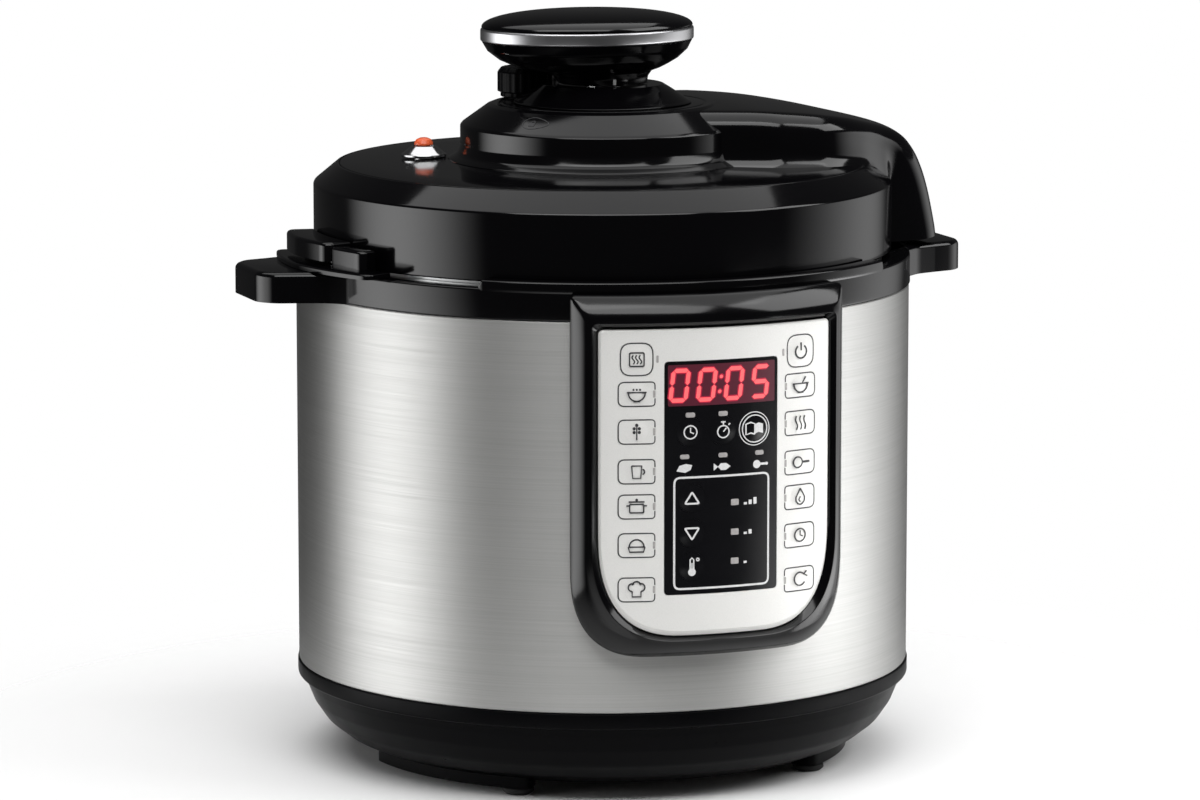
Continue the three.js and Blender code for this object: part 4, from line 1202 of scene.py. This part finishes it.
def on_bevel(u, v, depth):
    """A place on the hub's bevel: u around it, v up its slope, and depth out of it."""
    slope = (BEVEL_OUT - BEVEL_IN).normalized()
    r = MARK_R - slope.x * v - slope.y * depth
    return polar(r, math.radians(MARK_ANGLE) + u / MARK_R, MARK_Z - slope.y * v + slope.x * depth)


def build_hub_mark():
    """A drop-shaped outline on the hub's bevel with a closed padlock in it."""
    turns = [2 * math.pi * i / 36 for i in range(36)]
    drop = [Vector((5.2 * math.cos(a) + 3.0 * max(0.0, math.cos(a)) ** 3, 3.9 * math.sin(a))) for a in turns]
    lock = [(rounded_box(1.5, -2.0, 0.3, 0.3), []), stroke(circle(1.0, 0, 0.4, 12, 0, 180), 0.4)]
    for name, shapes in (("hub_dimple", [ring_shape(drop, 0.35)]), ("hub_padlock", lock)):
        bm = bmesh.new()
        for outer, holes in shapes:
            flat_plate(bm, outer, holes, PRINT + 0.03, 0)
        placed(bm, lambda u, v, depth: on_bevel(u, v, depth - 0.02))
        add_piece(name, bm, "engraved", "lid")


# ---------------------------------------------------------------- hinge and catch

def build_ears():
    """Two slim ears on the right handle that carry the rod."""
    foot = 228.6 - HINGE_Z
    outline = rounded([(-8.1, foot), (-4.5, foot), (-4.5, -1, 0.6), (1, -1, 0.9), (1, 1, 0.9), (-4, 1, 1),
                       (-8.1, 1.9, 1.5)])
    for side, word in ((-1, "front"), (1, "back")):
        ear = slab(outline, 2.4, 0.3)
        placed(ear, lambda u, w, depth: (HINGE_X + u, side * 19.8 - 1.2 + depth, HINGE_Z + w))
        add_piece(f"hinge_ear_{word}", ear, "satin_black", "housing", ["hinge_bracket"] if side < 0 else [])


def build_hinge():
    """The arm's barrel and the rod through it."""
    for name, finish, body, radius, holes, half, replaces in (
            ("hinge_barrel", "gloss_black", "lid", 1.5, [circle(0.9, count=20)], 18.0, []),
            ("hinge_rod", "bare_steel", "housing", 0.7, [], 21.0, ["hinge_pin"])):
        bm = slab(circle(radius, count=24), 2 * half, 0.3, 3, holes)
        placed(bm, lambda u, w, depth: (HINGE_X + u, depth - half, HINGE_Z + w))
        add_piece(name, bm, finish, body, replaces)


def build_catch():
    """The hook on the lid with the skid under it, over a plate and a tab on the collar's left handle."""
    half = 135 * math.radians(11)
    outline = rounded([(-half, 130.3, 0), (half, 130.3, 0), (half, 143.5, 5), (0, 145.5, 30),
                       (-half, 143.5, 5)], True, 8)
    hook = level_plate(outline, 8.3, 1.8, 5, -89, 232.5, 135)
    add_piece("catch_hook", hook, "gloss_black", "lid", ["lid_catch"])
    half = 133 * math.radians(8)
    outline = rounded([(-half, 130.3), (half, 130.3), (half, 137, 2), (-half, 137, 2)])
    skid = level_plate(outline, 2.2, 0.3, 3, -88, 231.0, 133)
    add_piece("catch_skid", skid, "gloss_black", "lid")
    half = 140 * math.radians(20)
    outline = rounded([(-half, 133, 1), (half, 133, 1), (half, 147, 5), (0, 150, 40),
                       (-half, 147, 5)], True, 8)
    plate = level_plate(outline, 2.3, 0.8, 4, -84, 228.2, 140)
    add_piece("keeper_plate", plate, "gloss_black", "housing", ["catch_keeper"])
    half = 137 * math.radians(4.7)
    outline = rounded([(-half, 133, 1.2), (half, 133, 1.2), (half, 141.5, 4.5),
                       (-half, 141.5, 1.5)], True, 8)
    tab = level_plate(outline, 9.8, 1.4, 5, -72.7, 229.4, 137)
    add_piece("keeper_tab", tab, "gloss_black", "housing")


# ---------------------------------------------------------------- valves

def build_float():
    """The pressure indicator: a red button in its plated collar."""
    centre = (FLOAT_X, FLOAT_Y)
    collar = turned([
        (3.3, 264.5), (4.8, 264.5), (4.8, LID_TOP + 0.1), (10.2, LID_TOP + 0.1, 0.4), (10.2, 271.3, 0.5),
        (9.5, 271.7, 0.3), (9.1, 272.0, 0.2), (5.6, 274.9, 0.4), (4.8, 275.0, 0.2), (4.7, 270.2),
        (3.3, 270.2),
    ], SMALL, centre)
    add_piece("float_flange", collar, "chrome", "lid", ["float_collar"])
    pin = solid_turned([
        (0, 226.3), (5.2, 226.3, 0.4), (5.2, 227.7, 0.4), (2.8, 227.7), (2.8, 275.3), (4.3, 275.3, 0.3),
        (4.3, 276.2, 0.8), (3.4, 277.8, 1.2), (1.6, 278.6, 1.0), (0, 278.6),
    ], SMALL, centre)
    add_piece("float_button", pin, "pin_red", "float", ["float_pin"])


def build_release_valve():
    """The ribbed cap with the bar across it, and the steam filter under the lid."""
    centre = (VALVE_X, VALVE_Y)
    cap = turned([
        (1, 230.3), (4.5, 230.3), (4.5, 295.5), (12.6, 295.5, 0.4), (12.6, 297.6, 0.3), (14, 297.9, 0.5),
        (14, 306.8, 1.6), (12.2, 308.9, 1.6), (7, 309.3, 0.4), (6.4, 308.7, 0.4), (1, 308.6),
    ], MEDIUM, centre, flutes=24, flute_depth=0.45)
    add_piece("release_cap", cap, "satin_black", "release_valve", ["release_valve"])
    bar = shifted(slab(rounded_box(5.6, -1.5, 1.5, 1.4), 1.5, 0.5), *centre, 308.1)
    add_piece("release_cap_bar", bar, "satin_black", "release_valve")
    cup = turned([(1, 218.5), (13, 218.5, 0.8), (14, 219.5, 0.6), (14, 227.7), (12.6, 227.7), (12.6, 220),
                  (1, 220)], SMALL, centre)
    add_piece("steam_filter", cup, "bare_steel", "lid", ["valve_shield"])


# ---------------------------------------------------------------- knob

def oval(z, centre, a, b):
    """A level oval ring about a middle along X."""
    turns = [2 * math.pi * i / BIG for i in range(BIG)]
    return [(centre + a * math.sin(turn), -b * math.cos(turn), z) for turn in turns]


def build_knob_seat():
    """The flared seat under the knob, with a notch in its rim around the release valve."""
    seat = turned([
        (9, HUB_TOP + 0.3), (40.6, HUB_TOP + 0.3, 0.5), (38.2, 296.4, 2), (31, 301.2, 5), (27.2, 303.5, 1.2),
        (20.6, 303.6, 0.4), (20.2, 303.2), (9, 303.2),
    ], MEDIUM)
    centre = Vector((VALVE_X, VALVE_Y))
    away = -centre.normalized()
    reach = 14.8
    for v in seat.verts:
        push = reach - (v.co.xy - centre).length
        if push > 0:
            v.co.x += away.x * push
            v.co.y += away.y * push
            v.co.z = min(v.co.z, HUB_TOP + 8.2)
    add_piece("knob_flare", seat, "gloss_black", "lid", ["knob_seat"])


# The grip's sections from its foot up: height, middle along X, and half-widths along X and Y.
GRIP_SECTIONS = (
    (304.0, 0, 20, 20), (307.0, -0.8, 21.3, 20.5), (309.4, -3.0, 25.5, 21.5), (311.2, -5.4, 33.0, 24.8),
    (315.0, -6.6, 41.2, 31.0), (319.0, -7.1, 46.0, 35.3), (323.0, KNOB_X, KNOB_A - 0.8, KNOB_B - 0.6),
)


def build_knob_grip():
    """The knob's body: round at its foot, and swelling to the oval of the band."""
    heights = catmull([(section[0], i) for i, section in enumerate(GRIP_SECTIONS)], 5)
    rows = []
    for z, place in heights:
        low = min(len(GRIP_SECTIONS) - 2, int(place))
        t = place - low
        below, above = GRIP_SECTIONS[low], GRIP_SECTIONS[low + 1]
        rows.append(oval(z, *(below[k] * (1 - t) + above[k] * t for k in (1, 2, 3))))
    add_piece("knob_stem", lofted(rows), "gloss_black", "knob", ["knob_grip"], sharp=60)


def build_knob_pointer():
    """The white tick on the front of the grip's foot."""
    tick = slab(rounded_box(0.65, 0, 2.6, 0.3), 0.4, 0.1)
    add_piece("knob_pointer", placed(tick, on_grip), "printed_white", "knob")


def on_grip(u, w, depth):
    """A place on the front of the grip's foot: u around, w up, and depth out of it."""
    turn = math.radians(-4) + u / 21
    r = 20.1 + depth
    return (-0.4 + (r + 0.25 * w) * math.sin(turn), -(r + 0.2 * w) * math.cos(turn), 304.4 + w)


def build_knob_band():
    loop = rounded([(-2.4, band_low.z), (0, band_low.z, 1.0), (0, band_high.z, 1.2), (-2.4, band_high.z)])
    rows = [oval(z, KNOB_X, KNOB_A + offset, KNOB_B + offset) for offset, z in loop]
    bm = bmesh.new()
    grid_skin(bm, rows, True, True)
    add_piece("knob_chrome_band", bm, "knob_metal", "knob", ["knob_band"], slot="chrome")


def build_knob_dome():
    low = band_high.z + 0.25
    a, b = KNOB_A - 0.5, KNOB_B - 0.5
    rise = KNOB_TOP - low - 0.3
    rows = [oval(low - 4, KNOB_X, a - 2.5, b - 2.5), oval(low, KNOB_X, a - 0.7, b - 0.7),
            oval(low + 0.3, KNOB_X, a, b)]
    for j in range(1, 15):
        turn = math.pi / 2 * j / 15
        spread = math.cos(turn) ** 0.8
        rows.append(oval(low + 0.3 + rise * math.sin(turn), KNOB_X, a * spread, b * spread))
    add_piece("knob_dome", lofted(rows), "gloss_black", "knob", ["knob_cap"], sharp=60)


# ---------------------------------------------------------------- hidden CAD nodes that stay

STAYING = {
    "bottom_cover": "satin_black", "display_module": "satin_black", "control_board": "circuit_board",
    "power_board": "circuit_board", "heating_plate": "cast_aluminium", "temperature_sensor": "bare_steel",
    "sensor_spring": "bare_steel", "pressure_switch": "satin_black", "lock_spider": "bare_steel",
}


def dress_staying_nodes():
    for name, finish in STAYING.items():
        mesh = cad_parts[name].data
        mesh.materials.clear()
        mesh.materials.append(MATERIALS[finish])


# ---------------------------------------------------------------- camera, floor and light

PHOTO_DISTANCE = 2546.0              # from the drum's axis to the camera, level
PHOTO_HEIGHT = 556.4
PHOTO_SIDEWAYS = -1.15
PHOTO_PITCH = 8.86                   # degrees down
PHOTO_TURN = 20.3                    # the panel faces this far to the camera's right
LENS, SENSOR = 170.8, 36.0
FLOOR_SOLID_R, FLOOR_R = 0.1, 0.42   # metres
ROOM = 0.04                          # the strength of the light from all around


def build_camera():
    turn = math.radians(PHOTO_TURN)
    data = bpy.data.cameras.new("camera")
    data.lens = LENS
    data.sensor_width = SENSOR
    data.clip_end = 20
    camera = bpy.data.objects.new("camera", data)
    x = -PHOTO_DISTANCE * math.sin(turn) + PHOTO_SIDEWAYS * math.cos(turn)
    y = -PHOTO_DISTANCE * math.cos(turn) - PHOTO_SIDEWAYS * math.sin(turn)
    camera.location = (MM * x, MM * y, MM * PHOTO_HEIGHT)
    camera.rotation_euler = (math.radians(90 - PHOTO_PITCH), 0, -turn)
    bpy.context.scene.collection.objects.link(camera)
    bpy.context.scene.camera = camera


def floor_paper():
    """White paper that thins out to nothing at its rim, so that it has no edge against the white beyond."""
    made = Nodes("floor_paper", (0.93, 0.93, 0.93), 0.8)
    made.shader.inputs["IOR"].default_value = 1.2
    made.bump(made.noise(60, detail=4), 0.0002, 0.2)
    place = made.add("ShaderNodeTexCoord")
    length = made.add("ShaderNodeVectorMath", operation="LENGTH")
    made.link(place.outputs["Object"], length.inputs[0])
    fade = made.add("ShaderNodeMapRange", interpolation_type="SMOOTHSTEP")
    fade.inputs["From Min"].default_value = FLOOR_SOLID_R
    fade.inputs["From Max"].default_value = FLOOR_R
    fade.inputs["To Min"].default_value = 1.0
    fade.inputs["To Max"].default_value = 0.0
    made.link(length.outputs["Value"], fade.inputs["Value"])
    made.link(fade.outputs["Result"], made.shader.inputs["Alpha"])
    return made.material


def build_floor():
    """A round sheet of paper under the cooker."""
    bm = bmesh.new()
    rows = [[(r * math.cos(2 * math.pi * i / 64), r * math.sin(2 * math.pi * i / 64), 0) for i in range(64)]
            for r in (0.01, FLOOR_SOLID_R, 0.25, FLOOR_R)]
    made = grid_skin(bm, rows, True)
    bm.faces.new(made[0])
    mesh = bpy.data.meshes.new("floor")
    bm.to_mesh(mesh)
    bm.free()
    mesh.materials.append(floor_paper())
    floor = bpy.data.objects.new("floor", mesh)
    bpy.context.scene.collection.objects.link(floor)


def area_light(name, position, target, width, height, radiance, peak=None):
    """A soft box of a given radiance. With a peak (0..1 across it), it dims smoothly to both sides."""
    data = bpy.data.lights.new(name, "AREA")
    data.shape = "RECTANGLE"
    data.size, data.size_y = width, height
    data.energy = radiance * width * height * math.pi
    lamp = bpy.data.objects.new(name, data)
    lamp.location = position
    lamp.rotation_euler = (Vector(target) - Vector(position)).to_track_quat("-Z", "Y").to_euler()
    bpy.context.scene.collection.objects.link(lamp)
    if peak is None:
        return
    data.use_nodes = True
    tree = data.node_tree
    place = tree.nodes.new("ShaderNodeNewGeometry")
    split = tree.nodes.new("ShaderNodeSeparateXYZ")
    both = tree.nodes.new("ShaderNodeMath")
    both.operation = "MULTIPLY"
    tree.links.new(place.outputs["Parametric"], split.inputs["Vector"])
    for i, edge in enumerate((0.0, 1.0)):
        ramp = tree.nodes.new("ShaderNodeMapRange")
        ramp.interpolation_type = "SMOOTHSTEP"
        ramp.inputs["From Min"].default_value = edge
        ramp.inputs["From Max"].default_value = peak
        tree.links.new(split.outputs["X"], ramp.inputs["Value"])
        tree.links.new(ramp.outputs["Result"], both.inputs[i])
    tree.links.new(both.outputs["Value"], tree.nodes["Emission"].inputs["Strength"])


def around(angle, distance, height):
    """A place around the cooker by its angle from the camera's side, positive to the right."""
    turn = math.radians(angle - PHOTO_TURN)
    return (distance * math.sin(turn), -distance * math.cos(turn), height)


def build_world():
    """White behind the cooker as the camera sees it, and a dim room for everything else."""
    world = bpy.data.worlds.new("studio")
    world.use_nodes = True
    tree = world.node_tree
    background = tree.nodes["Background"]
    background.inputs["Color"].default_value = (1, 1, 1, 1)
    path = tree.nodes.new("ShaderNodeLightPath")
    strength = tree.nodes.new("ShaderNodeMapRange")
    strength.inputs["To Min"].default_value = ROOM
    strength.inputs["To Max"].default_value = 1.0
    tree.links.new(path.outputs["Is Camera Ray"], strength.inputs["Value"])
    tree.links.new(strength.outputs["Result"], background.inputs["Strength"])
    bpy.context.scene.world = world


def build_light():
    middle = (0, 0, 0.17)
    area_light("soft_left", around(-82, 1.7, 0.05), middle, 2.6, 1.1, 4.2, 0.5)
    area_light("soft_right", around(112, 1.7, 0.05), middle, 2.8, 1.1, 1.4, 0.5)
    area_light("high_right", around(80, 1.9, 1.6), middle, 1.6, 1.2, 4.5)
    area_light("low_right", around(86, 1.6, -0.52), (0, 0, -0.3), 2.6, 0.7, 6.6, 0.5)
    area_light("low_front", around(-8, 1.6, -0.65), (0, 0, -0.3), 2.4, 0.7, 1.3, 0.5)
    area_light("high_front", around(0, 1.7, 2.2), middle, 3.0, 1.0, 4.6)
    area_light("top", (0, 0, 2.4), (0, 0, 0), 3.2, 3.2, 1.6)
    build_world()
    bpy.context.scene.view_settings.view_transform = "Standard"


build_camera()
build_base()
build_feet()
build_sleeve()
build_collar()
build_panel_frame()
build_fascia()
build_keys()
build_window()
build_inlet()
build_vessel()
build_inner_pot()
build_pressure_lid()
build_lid_cover()
build_arm()
build_hub()
build_hub_mark()
build_ears()
build_hinge()
build_catch()
build_float()
build_release_valve()
build_knob_seat()
build_knob_grip()
build_knob_pointer()
build_knob_band()
build_knob_dome()
dress_staying_nodes()
build_floor()
build_light()
